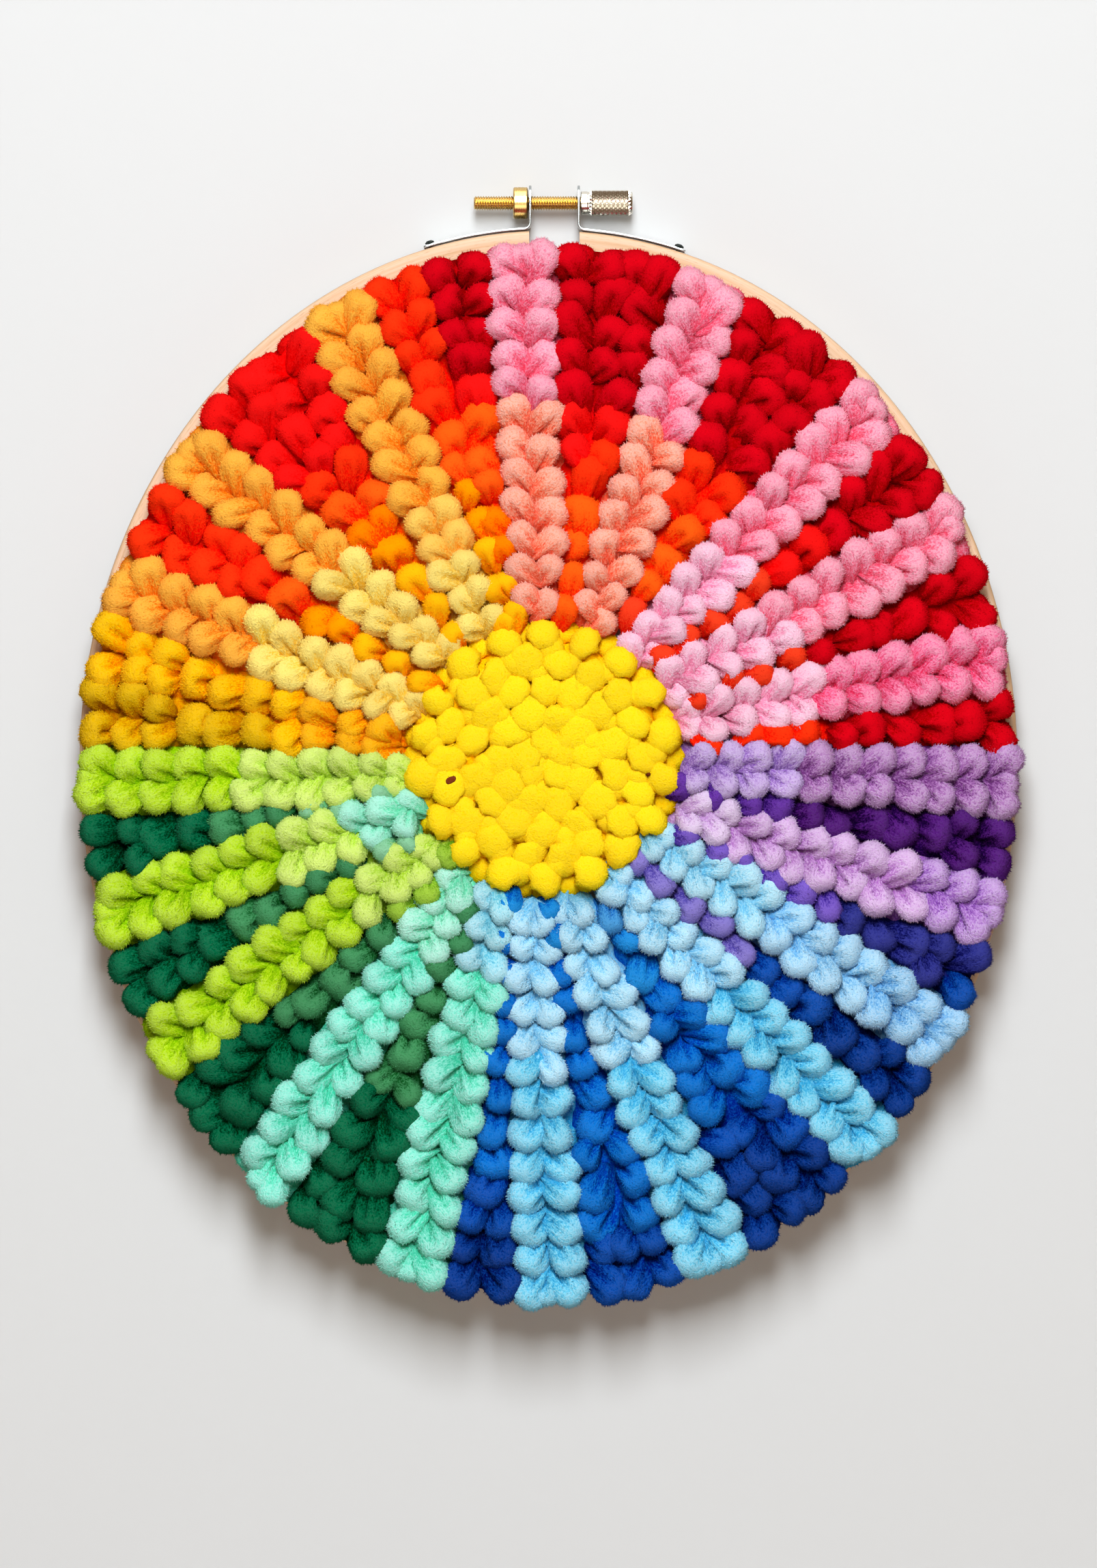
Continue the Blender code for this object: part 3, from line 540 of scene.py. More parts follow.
def sun_loops():
    """The sun: rings of round nubs from its rim in, and lower ones between them."""
    uneven = random.Random(7)
    loops = []
    for ring, (radius, count, size, height) in enumerate(SUN_RINGS):
        for place in range(count):
            turn = math.tau * (place + 0.5 * (ring % 2)) / count
            turn += uneven.uniform(-1.0, 1.0) * MM / radius
            width = size * uneven.uniform(0.9, 1.08)
            depth = width * uneven.uniform(0.8, 1.05)
            tall = width * (0.8 if ring == 0 else 0.42)
            top = height + uneven.uniform(-0.3, 0.3) * MM
            middle = radius + uneven.uniform(-0.8, 0.8) * MM * (ring > 0)
            lean = uneven.uniform(0.0, 0.3)
            spin = uneven.uniform(0.0, math.tau)
            loops.append(nub(middle, turn, top, (width, depth, tall), lean, spin))
    # A low row under the rim closes the sun's side.
    for place in range(SUN_LOW_NUBS):
        turn = math.tau * place / SUN_LOW_NUBS
        low = (4.4 * MM, 4.4 * MM, 4.0 * MM)
        loops.append(nub(SUN_RADIUS - 3.0 * MM, turn, 8.0 * MM, low, 0.2, 0.0))
    # Small low nubs fill what is left between them.
    golden = math.pi * (3.0 - math.sqrt(5.0))
    for place in range(SUN_FILL_NUBS):
        radius = SUN_FILL_RADIUS * math.sqrt((place + 0.5) / SUN_FILL_NUBS)
        width = uneven.uniform(4.2, 5.2) * MM
        top = uneven.uniform(12.1, 12.7) * MM
        loops.append(nub(radius, golden * place, top, (width, width, width), 0.1, 0.0))
    # Two small brown ends of yarn stand between the yellow nubs.
    for radius, degrees, size in ((25.9, 256.8, 2.4), (28.5, 98.6, 1.0)):
        narrow = (size * MM, size * 0.7 * MM, 2.5 * MM)
        turn = math.radians(degrees)
        loops.append(nub(radius * MM, turn, 13.4 * MM, narrow, 0.0, 1.2, "brown"))
    return loops


class Nodes:
    """Adds nodes to one tree. What goes into a socket is a plain value, another socket, or a
    node, which stands for its first output."""

    def __init__(self, tree):
        self.tree = tree

    def put(self, value, socket):
        if isinstance(value, bpy.types.Node):
            value = value.outputs[0]
        if isinstance(value, bpy.types.NodeSocket):
            self.tree.links.new(value, socket)
        else:
            socket.default_value = value

    def add(self, kind, inputs=None, **settings):
        node = self.tree.nodes.new(kind)
        for name, value in settings.items():
            setattr(node, name, value)
        for name, value in (inputs or {}).items():
            self.put(value, node.inputs[name])
        return node

    def maths(self, operation, *terms):
        return self.add("ShaderNodeMath", dict(enumerate(terms)), operation=operation)

    def vector(self, operation, *terms):
        return self.add("ShaderNodeVectorMath", dict(enumerate(terms)), operation=operation)

    def scaled(self, vector, scale):
        return self.add("ShaderNodeVectorMath", {0: vector, "Scale": scale}, operation="SCALE")

    def split(self, vector):
        return self.add("ShaderNodeSeparateXYZ", {"Vector": vector}).outputs

    def ramp(self, value, low, high, low_share=0.0, high_share=1.0, ease="LINEAR"):
        ends = {"From Min": low, "From Max": high, "To Min": low_share, "To Max": high_share}
        return self.add("ShaderNodeMapRange", {"Value": value, **ends}, interpolation_type=ease)

    def noise(self, place, scale, detail, roughness=0.5, **settings):
        inputs = {"Vector": place, "Scale": scale, "Detail": detail, "Roughness": roughness}
        return self.add("ShaderNodeTexNoise", inputs, **settings)

    def stretched(self, place, scale):
        return self.add("ShaderNodeMapping", {"Vector": place, "Scale": scale})

    def mix(self, share, first, second):
        inputs = {0: share, 6: first, 7: second}
        return self.add("ShaderNodeMix", inputs, data_type="RGBA").outputs[2]

    def bump(self, height, strength, distance):
        inputs = {"Height": height, "Strength": strength, "Distance": distance}
        return self.add("ShaderNodeBump", inputs)


LOOP_INPUTS = (
    ("Field", "NodeSocketGeometry", None),
    ("Steps around", "NodeSocketInt", 14),
    ("Steps along", "NodeSocketInt", 10),
    ("Root narrowing", "NodeSocketFloat", 0.3),
    ("Fold depth", "NodeSocketFloat", 0.5),
    ("Unevenness", "NodeSocketFloat", 0.9 * MM),
    ("Lump size", "NodeSocketFloat", 5.0 * MM),
    ("Fibres", "NodeSocketFloat", 1.5e6),
    ("Fibre length", "NodeSocketFloat", 1.5 * MM),
    ("Fibre radius", "NodeSocketFloat", 0.17 * MM),
    ("Cells", "NodeSocketFloat", 8.0),
    ("Seed", "NodeSocketInt", 1),
    ("Yarn", "NodeSocketMaterial", None),
)


def loops_tree():
    """Geometry Nodes that set a petal of yarn on each point and cover it with fibres."""
    group = bpy.data.node_groups.new("punched_loops", "GeometryNodeTree")
    group.is_modifier = True
    for name, kind, default in LOOP_INPUTS:
        socket = group.interface.new_socket(name, in_out="INPUT", socket_type=kind)
        if default is not None:
            socket.default_value = default
    group.interface.new_socket("Pile", in_out="OUTPUT", socket_type="NodeSocketGeometry")
    nodes = Nodes(group)
    add, maths, vector = nodes.add, nodes.maths, nodes.vector
    scaled, ramp = nodes.scaled, nodes.ramp

    def named(name, kind="FLOAT"):
        return add("GeometryNodeInputNamedAttribute", {"Name": name}, data_type=kind)

    def store(geometry, name, value, kind="FLOAT", domain="POINT"):
        inputs = {"Geometry": geometry, "Name": name, "Value": value}
        return add("GeometryNodeStoreNamedAttribute", inputs, data_type=kind, domain=domain)

    def joined(*geometries):
        node = add("GeometryNodeJoinGeometry")
        for geometry in geometries:
            nodes.put(geometry, node.inputs[0])
        return node

    def pushed(geometry, distance):
        inputs = {"Geometry": geometry, "Offset": scaled(normal, distance)}
        return add("GeometryNodeSetPosition", inputs)

    def combined(across, deep, high=0.0):
        return add("ShaderNodeCombineXYZ", {"X": across, "Y": deep, "Z": high})

    def placed(points, instance, rotation, scale):
        inputs = {"Points": points, "Instance": instance, "Rotation": rotation, "Scale": scale}
        instances = add("GeometryNodeInstanceOnPoints", inputs)
        return add("GeometryNodeRealizeInstances", {"Geometry": instances})

    def drawn(low, high, seed):
        inputs = {2: low, 3: high, "Seed": seed}
        return add("FunctionNodeRandomValue", inputs, data_type="FLOAT").outputs[1]

    given = add("NodeGroupInput").outputs
    position = add("GeometryNodeInputPosition")
    normal = add("GeometryNodeInputNormal")
    parts = add(
        "GeometryNodeSeparateGeometry",
        {"Geometry": given["Field"], "Selection": named("loop", "BOOLEAN")},
        domain="POINT",
    )

    # The petal: a round form along Z, narrower at its root. Its front is -Y, where its columns
    # are closer together.
    ball = add(
        "GeometryNodeMeshUVSphere",
        {"Radius": 1.0, "Segments": given["Steps around"], "Rings": given["Steps along"]},
    )
    petal = store(ball, "spot", ball.outputs["UV Map"], "FLOAT_VECTOR", "CORNER")
    spot = nodes.split(position)
    from_back = maths("ARCTAN2", spot["X"], spot["Y"])
    crowded = maths("MULTIPLY_ADD", maths("SINE", from_back), 0.45, from_back)
    across = maths("SQRT", maths("SUBTRACT", 1.0, maths("MULTIPLY", spot["Z"], spot["Z"])))
    petal = store(petal, "around", maths("SUBTRACT", math.pi, crowded))
    along = maths("MULTIPLY_ADD", spot["Z"], 0.5, 0.5)
    petal = store(petal, "along", along)
    narrow = maths("MULTIPLY_ADD", spot["Z"], given["Root narrowing"], 0.86)
    narrow = maths("MULTIPLY_ADD", maths("POWER", along, 6.0), 0.3, narrow)
    wide = maths("MULTIPLY", across, narrow)
    narrowed = combined(
        maths("MULTIPLY", wide, maths("SINE", crowded)),
        maths("MULTIPLY", wide, maths("COSINE", crowded)),
        spot["Z"],
    )
    petal = add("GeometryNodeSetPosition", {"Geometry": petal, "Position": narrowed})
    fan = scaled(vector("NORMALIZE", vector("ADD", position, (0.0, 0.0, 1.15))), 9.0)
    petal = store(petal, "strand", vector("ADD", fan, position), "FLOAT_VECTOR")

    # One petal on each point, with that point's size, turn and colour.
    turn = add("FunctionNodeEulerToRotation", {"Euler": named("turn", "FLOAT_VECTOR")})
    petals = placed(parts.outputs["Selection"], petal, turn, named("size", "FLOAT_VECTOR"))

    # Folds: two creases that run from the root up the front, elsewhere on each petal.
    mark = named("mark")
    around = maths("WRAP", named("around"), math.pi, -math.pi)
    main_place = maths("MULTIPLY_ADD", mark, 1.3, -0.65)
    side = maths("SIGN", main_place)
    creases = []
    for aside, deep in ((0.0, 1.0), (-0.95, 0.6)):
        crease_place = maths("MULTIPLY_ADD", side, aside, main_place)
        off = maths("DIVIDE", maths("SUBTRACT", around, crease_place), 0.28)
        bell = maths("EXPONENT", maths("MULTIPLY", maths("MULTIPLY", off, off), -1.0))
        creases.append(maths("MULTIPLY", bell, deep))
    fading = ramp(named("along"), 0.96, 0.5, ease="SMOOTHSTEP")
    fold = maths("MULTIPLY", maths("ADD", *creases), fading)
    # Small petals have shallower folds.
    half_width = nodes.split(named("size", "FLOAT_VECTOR"))["X"]
    shallower = maths("MULTIPLY", half_width, 1.0 / (6.0 * MM))
    inwards = maths("MULTIPLY", maths("MULTIPLY", fold, given["Fold depth"]), half_width)
    inwards = maths("MULTIPLY", inwards, shallower)
    # The fold is kept as an attribute; the yarn paints shade into it.
    petals = pushed(store(petals, "fold", fold), maths("MULTIPLY", inwards, -1.0))
    fineness = maths("DIVIDE", 1.0, given["Lump size"])
    lumps = nodes.noise(position, fineness, 2.0, noise_dimensions="4D")
    nodes.put(given["Seed"], lumps.inputs["W"])
    swell = maths("MULTIPLY", maths("SUBTRACT", lumps, 0.5), given["Unevenness"])
    petals = pushed(petals, maths("MULTIPLY", swell, 2.0))
    apart = combined(maths("MULTIPLY", mark, 37.0), maths("MULTIPLY", mark, 71.0))
    own_strand = vector("ADD", named("strand", "FLOAT_VECTOR"), apart)
    petals = store(petals, "strand", own_strand, "FLOAT_VECTOR")
    petals = store(petals, "soft_normal", normal, "FLOAT_VECTOR")
    base = store(parts.outputs["Inverted"], "soft_normal", normal, "FLOAT_VECTOR")
    # A point's height above the cloth, which the yarn's painted crease shade also reads.
    level = maths("SUBTRACT", PILE_BACK, nodes.split(position)["Y"])
    body = store(joined(base, petals), "height", level)

    # Fibres: thin spikes on the front of each petal, combed towards its head. Most of them
    # show at its outline, fewer where it faces the front.
    facing = nodes.split(normal)["Y"]
    open_share = ramp(facing, 0.45, -0.25)
    front = ramp(facing, -0.35, -0.8, 1.0, 0.12)
    high = ramp(level, 4.0 * MM, 7.0 * MM, 0.35)
    head = ramp(named("along"), 0.2, 0.5, 0.15)
    density = maths("MULTIPLY", given["Fibres"], maths("MULTIPLY", open_share, front))
    density = maths("MULTIPLY", maths("MULTIPLY", density, high), head)
    feet = add(
        "GeometryNodeDistributePointsOnFaces",
        {"Mesh": petals, "Density": density, "Seed": given["Seed"]},
        distribute_method="RANDOM",
    )
    # A foot that another petal covers gets no fibre.
    soft_normal = named("soft_normal", "FLOAT_VECTOR")
    covered = add(
        "GeometryNodeRaycast",
        {
            "Target Geometry": petals,
            "Source Position": vector("ADD", position, scaled(soft_normal, 0.25 * MM)),
            "Ray Direction": vector("ADD", soft_normal, (0.0, -0.7, 0.0)),
            "Ray Length": 5.0 * MM,
        },
        data_type="FLOAT",
    )
    feet = add(
        "GeometryNodeDeleteGeometry",
        {"Geometry": feet, "Selection": covered.outputs["Is Hit"]},
        domain="POINT",
    )
    feet = store(store(feet, "height", level), "fluff", drawn(0.0, 1.0, 11))
    stray = add(
        "FunctionNodeRandomValue",
        {0: (-1, -1, -1), 1: (1, 1, 1), "Seed": given["Seed"]},
        data_type="FLOAT_VECTOR",
    )
    from_root = vector("SUBTRACT", position, named("root", "FLOAT_VECTOR"))
    combed = scaled(vector("NORMALIZE", from_root), 0.7)
    direction = vector("ADD", scaled(soft_normal, 0.6), combed)
    direction = vector("ADD", direction, scaled(stray, 0.3))
    spike = add(
        "GeometryNodeMeshCone",
        {
            "Vertices": 3,
            "Side Segments": 1,
            "Radius Top": 0.0,
            "Radius Bottom": given["Fibre radius"],
            "Depth": given["Fibre length"],
        },
        fill_type="NONE",
    )
    # How far up its fibre a point is; the yarn paints the tips paler as a highlight.
    tip = maths("DIVIDE", nodes.split(position)["Z"], given["Fibre length"])
    aimed = add("FunctionNodeAlignRotationToVector", {"Vector": direction}, axis="Z")
    length = drawn(0.55, 1.25, given["Seed"])
    pile = joined(body, placed(feet, store(spike, "tip", tip), aimed, length))

    # A map named OFBake: a cell for each petal. A fibre takes its foot's spot in its petal's cell.
    cell = named("cell")
    row = maths("FLOOR", maths("DIVIDE", cell, given["Cells"]))
    column = maths("SUBTRACT", cell, maths("MULTIPLY", row, given["Cells"]))
    spot = nodes.split(named("spot", "FLOAT_VECTOR"))
    map_place = []
    for start, axis in ((column, "X"), (row, "Y")):
        inside = maths("MULTIPLY_ADD", spot[axis], 0.9, 0.05)
        map_place.append(maths("DIVIDE", maths("ADD", start, inside), given["Cells"]))
    pile = store(pile, "OFBake", combined(*map_place), "FLOAT2", "CORNER")
    pile = add("GeometryNodeSetShadeSmooth", {"Geometry": pile})
    pile = add("GeometryNodeSetMaterial", {"Geometry": pile, "Material": given["Yarn"]})
    add("NodeGroupOutput", {"Pile": pile})
    return group


def set_inputs(modifier, values):
    """Sets a Geometry Nodes modifier's inputs, which are known by their names."""
    sockets = modifier.node_group.interface.items_tree
    identifiers = {item.name: item.identifier for item in sockets if item.in_out == "INPUT"}
    for name, value in values.items():
        modifier[identifiers[name]] = value


def add_object(name, data):
    """An object in the scene."""
    thing = bpy.data.objects.new(name, data)
    bpy.context.scene.collection.objects.link(thing)
    return thing


def add_piece(name, mesh, material=None):
    """An object of that mesh and material."""
    if material:
        mesh.materials.append(material)
    return add_object(name, mesh)


def stand_for(piece, node, slot):
    """Lets a piece ride on the one body, in its CAD node's place."""
    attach(piece, "root")
    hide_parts(node)
    return piece


def settle(piece):
    """Turns what the modifiers make into the piece's own plain mesh."""
    graph = bpy.context.evaluated_depsgraph_get()
    mesh = bpy.data.meshes.new_from_object(
        piece.evaluated_get(graph), preserve_all_data_layers=True, depsgraph=graph
    )
    piece.modifiers.clear()
    old = piece.data
    piece.data = mesh
    mesh.name = piece.name
    if old.users == 0:
        bpy.data.meshes.remove(old)


def thicken(piece, thickness, offset):
    """Gives a sheet its thickness."""
    modifier = piece.modifiers.new("thickness", "SOLIDIFY")
    modifier.thickness = thickness
    modifier.offset = offset
    modifier.use_even_offset = True


def to_mesh(work, mesh):
    """Writes a bmesh into a mesh, or into a new one of that name, and frees it."""
    if isinstance(mesh, str):
        mesh = bpy.data.meshes.new(mesh)
    work.to_mesh(mesh)
    work.free()
    return mesh


def face_outwards(mesh, merge=None):
    """Joins points closer than merge, if it is given, and turns the faces outwards."""
    work = bmesh.new()
    work.from_mesh(mesh)
    if merge:
        bmesh.ops.remove_doubles(work, verts=work.verts, dist=merge)
    bmesh.ops.recalc_face_normals(work, faces=work.faces)
    to_mesh(work, mesh)


def smooth(mesh, degrees):
    """Smooth shading with the edges sharper than that angle left sharp."""
    mesh.shade_smooth()
    mesh.set_sharp_from_angle(angle=math.radians(degrees))


def set_values(mesh, title, kind, values):
    """Gives each point of a mesh its own value of that kind."""
    part = {"FLOAT_VECTOR": "vector", "FLOAT_COLOR": "color"}.get(kind, "value")
    mesh.attributes.new(title, kind, "POINT").data.foreach_set(part, values)


def field_mesh(name, node, loops, yarns, spread, feet):
    """The start of a field: a low copy of its CAD solid as the loops' dense feet, and a loose
    point for each loop, with what the point's petal needs. Spread is how far the feet stand
    out of the CAD solid's sides, and feet is their share of its height."""
    uneven = random.Random(name)
    work = bmesh.new()
    work.from_mesh(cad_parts[node].data)
    bmesh.ops.remove_doubles(work, verts=work.verts, dist=0.01 * MM)
    bmesh.ops.recalc_face_normals(work, faces=work.faces)
    base = [vertex.co.copy() for vertex in work.verts]
    swell = [Vector((vertex.normal.x, 0.0, vertex.normal.z)) * spread for vertex in work.verts]
    faces = [[vertex.index for vertex in face.verts] for face in work.faces]
    work.free()
    low = Vector((min(co.x for co in base), 0.0, min(co.z for co in base)))
    wide = Vector((max(co.x for co in base), 0.0, max(co.z for co in base))) - low
    points = [Vector((co.x, PILE_BACK + (co.y - PILE_BACK) * feet, co.z)) for co in base]
    for point, outwards in zip(points, swell):
        point += outwards
        away = point - SUN_CENTRE
        away.y = 0.0
        rim = rim_radius(math.atan2(away.x, away.z)) - 3.0 * MM
        if away.length > rim:
            point -= away * (1.0 - rim / away.length)
    mesh = bpy.data.meshes.new(name)
    mesh.from_pydata(points + [loop.place for loop in loops], [], faces)
    count = len(base)
    marks = [uneven.random() for _ in loops]
    turns = [0.0] * 3 * count
    sizes = [1.0] * 3 * count
    roots = [0.0] * 3 * count
    colours, spots = [], []
    for co in base:
        away = Vector((co.x - SUN_CENTRE.x, 0.0, co.z - SUN_CENTRE.z)).length
        colours += hex_colour(YARNS[yarn_at(yarns, away, random.Random(0))])
        spots += ((co.x - low.x) / wide.x, (co.z - low.z) / wide.z, 0.0)
    for loop in loops:
        upright = loop.axis.cross(loop.aside)
        turns += list(Matrix((loop.aside, upright, loop.axis)).transposed().to_euler())
        sizes += loop.half_sizes
        roots += list(loop.place - loop.axis * loop.half_sizes[2] * 1.1)
        dye = hex_colour(YARNS[loop.yarn])
        batch = uneven.uniform(0.93, 1.06)
        colours += [min(1.0, channel * batch) for channel in dye[:3]] + [1.0]
        spots += (0.0, 0.0, 0.0)
    cells = [0.0] * count + [1.0 + place for place in range(len(loops))]
    set_values(mesh, "loop", "BOOLEAN", [False] * count + [True] * len(loops))
    set_values(mesh, "cell", "FLOAT", cells)
    set_values(mesh, "mark", "FLOAT", [0.0] * count + marks)
    set_values(mesh, "turn", "FLOAT_VECTOR", turns)
    set_values(mesh, "size", "FLOAT_VECTOR", sizes)
    set_values(mesh, "root", "FLOAT_VECTOR", roots)
    set_values(mesh, "yarn_colour", "FLOAT_COLOR", colours)
    set_values(mesh, "spot", "FLOAT_VECTOR", spots)
    return mesh


def build_field(node, slot, loops, yarns, seed, form=(0.22, 1.3 * MM, 0.58, 1.0)):
    """One field of the pile as a plain mesh that stands for its CAD node. The form is how much
    a loop narrows at its root, the feet's spread and height, and the fibres' scale."""
    pile = bpy.context.scene.wall_piece_pile
    narrowing, spread, feet, fine = form
    piece = add_piece(node + "_yarn", field_mesh(node + "_yarn", node, loops, yarns, spread, feet))
    modifier = piece.modifiers.new("loops", "NODES")
    modifier.node_group = bpy.data.node_groups.get("punched_loops") or loops_tree()
    values = {
        "Root narrowing": narrowing,
        "Fibres": pile.fibres,
        "Fibre length": pile.fibre_length * fine,
        "Fibre radius": pile.fibre_radius * fine,
        "Cells": float(math.ceil(math.sqrt(len(loops) + 1))),
        "Seed": seed,
        "Yarn": yarn_for(slot),
    }
    set_inputs(modifier, values)
    settle(piece)
    for title in ("loop", "turn", "size", "root", "spot", "cell", "mark", "around", "soft_normal"):
        attribute = piece.data.attributes.get(title)
        if attribute:
            piece.data.attributes.remove(attribute)
    return stand_for(piece, node, slot)


def back_stitches(slot, loops):
    """The yarn's flat stitches on the cloth's back, one for each loop clear of the inner ring.
    The sun's smallest nubs get none, since their stitches would lie in the others."""
    uneven = random.Random(slot)
    least = 5.0 * MM if slot == "yellow_yarn" else 3.4 * MM
    back = Vector((0.0, -(HOOP_DEPTH + CLEARANCE), 0.0))
    free_width = HOOP_HALF_WIDTH - STITCH_INSET
    free_height = HOOP_HALF_HEIGHT - STITCH_INSET
    points, faces, colours = [], [], []
    for loop in loops:
        apart = loop.place - HOOP_CENTRE
        if (apart.x / free_width) ** 2 + (apart.z / free_height) ** 2 > 1.0:
            continue
        if PILE_BACK - loop.place.y < 5.0 * MM or loop.half_sizes[0] < least:
            continue
        middle = Vector((loop.place.x, 0.0, loop.place.z)) + back
        outwards = middle - SUN_CENTRE
        outwards.y = 0.0
        lean = Matrix.Rotation(uneven.uniform(-0.3, 0.3), 3, "Y")
        outwards = lean @ outwards.normalized()
        aside = outwards.cross(FRONT)
        start = len(points)
        top = uneven.uniform(0.5, 0.85) * MM
        for size, height in ((1.0, -0.1 * MM), (0.6, top)):
            for step in range(STITCH_SIDES):
                turn = math.tau * step / STITCH_SIDES
                point = middle + outwards * math.cos(turn) * STITCH_HALF_LENGTH * size
                point += aside * math.sin(turn) * STITCH_HALF_WIDTH * size - FRONT * height
                points.append(point)
        for step in range(STITCH_SIDES):
            after = (step + 1) % STITCH_SIDES
            quad = (step, after, after + STITCH_SIDES, step + STITCH_SIDES)
            faces.append([start + index for index in quad])
        faces.append([start + index for index in reversed(range(STITCH_SIDES))])
        faces.append([start + STITCH_SIDES + index for index in range(STITCH_SIDES)])
        colours += hex_colour(YARNS[loop.yarn]) * 2 * STITCH_SIDES
    mesh = bpy.data.meshes.new(slot + "_stitches")
    mesh.from_pydata(points, [], faces)
    set_values(mesh, "yarn_colour", "FLOAT_COLOR", colours)
    # The yarn's painted shade reads height and along: the stitches get one middling value of each.
    set_values(mesh, "height", "FLOAT", [8.0 * MM] * len(points))
    set_values(mesh, "along", "FLOAT", [0.7] * len(points))
    set_values(mesh, "strand", "FLOAT_VECTOR", [part * 300.0 for co in points for part in co])
    face_outwards(mesh)
    mesh.shade_smooth()
    piece = add_piece(slot + "_stitches", mesh, yarn_for(slot))
    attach(piece, "root")
    return piece


def new_material(name, values):
    """A material with its node helper and its shader's inputs, some set to plain values."""
    material = bpy.data.materials.new(name)
    material.use_nodes = True
    inputs = material.node_tree.nodes["Principled BSDF"].inputs
    for socket, value in values.items():
        inputs[socket].default_value = value
    return material, Nodes(material.node_tree), inputs


def plush_yarn(name, crease_shade_gamma, pale, fuzz, sheen):
    """Plush polyester yarn, brushed until its loops felt together: matt, with a soft sheen.
    Its colour carries painted shade and highlight: low spots, roots and folds are painted
    deeper and more saturated as shade, and open spots and fibre tips paler as a highlight.
    Streaks follow the fibres from root to head."""
    if name in bpy.data.materials:
        return bpy.data.materials[name]
    matt = {"Roughness": 0.95, "IOR": 1.5, "Specular IOR Level": 0.01}
    soft = {"Sheen Weight": sheen, "Sheen Roughness": 0.5}
    material, nodes, shader = new_material(name, {**matt, **soft})
    maths = nodes.maths

    def read(title, output="Fac"):
        return nodes.add("ShaderNodeAttribute", attribute_name=title).outputs[output]

    def ramp(value, low, high, low_share=0.0, high_share=1.0):
        return nodes.ramp(value, low, high, low_share, high_share, "SMOOTHSTEP")

    # Real fibres are 0.02 mm thick. Their tips are drawn 0.3 mm wide and the streaks that they
    # make 0.5 mm wide, so that both show.
    dye = read("yarn_colour", "Color")
    place = nodes.add("ShaderNodeTexCoord").outputs["Object"]
    streak = nodes.noise(read("strand", "Vector"), 2.3, 3.0, 0.65)
    tips = nodes.noise(place, 1500.0, 2.0, 0.6)
    fine = maths("ADD", ramp(streak, 0.34, 0.66), maths("MULTIPLY", ramp(tips, 0.36, 0.64), 0.7))
    # How open a spot is, for the painted shade: low, near the root and in a fold it is closed,
    # and its colour is painted deeper and more saturated there.
    height = ramp(read("height"), 3.5 * MM, 10.5 * MM)
    open_share = maths("MULTIPLY", height, ramp(read("along"), 0.2, 0.95, 0.1))
    open_share = maths("MULTIPLY", open_share, ramp(read("fold"), 0.1, 0.9, 1.0, 0.5))
    # Painted light and shade: lit is how brightly a spot is painted. Dim spots take the dye at a
    # higher gamma, deeper and more saturated, as painted shade.
    lit = maths("MULTIPLY_ADD", fine, 0.55, maths("MULTIPLY_ADD", open_share, 0.8, -0.27))
    deep = nodes.add("ShaderNodeGamma", {"Color": dye, "Gamma": crease_shade_gamma})
    body = nodes.mix(ramp(lit, 0.0, 0.8), deep, dye)
    # Painted highlight: bright open spots and the fluffier fibre tips are painted paler, towards
    # white.
    painted_highlight = maths("MULTIPLY", ramp(lit, 0.55, 1.15), pale)
    painted_tip_highlight = maths("MULTIPLY", read("tip"), read("fluff"))
    painted_highlight = maths("MULTIPLY_ADD", painted_tip_highlight, pale * 0.5, painted_highlight)
    nodes.put(nodes.mix(painted_highlight, body, (1.0, 1.0, 1.0, 1.0)), shader["Base Color"])
    grain = maths("MULTIPLY_ADD", streak, 1.2, tips)
    nodes.put(nodes.bump(grain, fuzz, 0.5 * MM), shader["Normal"])
    return material


PALE_SLOTS = (
    "pink_yarn",
    "rose_yarn",
    "lilac_yarn",
    "orchid_yarn",
    "periwinkle_yarn",
    "sky_yarn",
    "mint_yarn",
)


def yarn_for(slot):
    """Pale yarns are fuzzier than deep ones, and the red is the sleekest."""
    # The numbers are the painted crease shade's gamma, the share of painted highlight, the fuzz and
    # the sheen.
    if slot in PALE_SLOTS:
        return plush_yarn("brushed_pale_plush_yarn", 2.2, 0.18, 0.8, 0.04)
    if slot == "lime_yarn":
        return plush_yarn("brushed_lime_plush_yarn", 2.0, 0.06, 0.8, 0.0)
    if slot in ("apricot_yarn", "mustard_yarn", "gold_yarn"):
        return plush_yarn("brushed_bright_plush_yarn", 2.0, 0.01, 0.8, 0.0)
    if slot == "yellow_yarn":
        return plush_yarn("brushed_yellow_plush_yarn", 2.0, 0.012, 0.6, 0.0)
    if slot in ("crimson_yarn", "vermilion_yarn"):
        return plush_yarn("sleek_red_plush_yarn", 2.0, 0.0, 0.4, 0.0)
    return plush_yarn("brushed_deep_plush_yarn", 1.9, 0.012, 0.8, 0.0)


def beech(hoop):
    """Pale beech, steam bent along its grain, sanded and left bare: matt, with fine darker
    lines round the ring and short brown flecks."""
    material, nodes, shader = new_material("sanded_pale_beech", {"Roughness": 0.55})
    place = nodes.add("ShaderNodeAttribute", attribute_name="grain_place").outputs["Vector"]
    # Growth lines are about 0.8 mm apart and run for some 60 mm along the strip.
    lines = nodes.noise(nodes.stretched(place, (16.0, 1100.0, 900.0)), 1.0, 3.0, 0.6)
    # Flecks: beech rays, 2 mm long and 0.3 mm wide.
    flecks = nodes.noise(nodes.stretched(place, (350.0, 2600.0, 2600.0)), 1.0, 1.0)
    grained = nodes.mix(nodes.ramp(lines, 0.42, 0.72, 0.0, 0.75), hoop.wood, hoop.wood_grain)
    flecked = nodes.mix(nodes.ramp(flecks, 0.6, 0.75, 0.0, 0.45), grained, hex_colour("B98552"))
    nodes.put(flecked, shader["Base Color"])
    nodes.put(nodes.bump(lines, 0.3, 0.08 * MM), shader["Normal"])
    return material


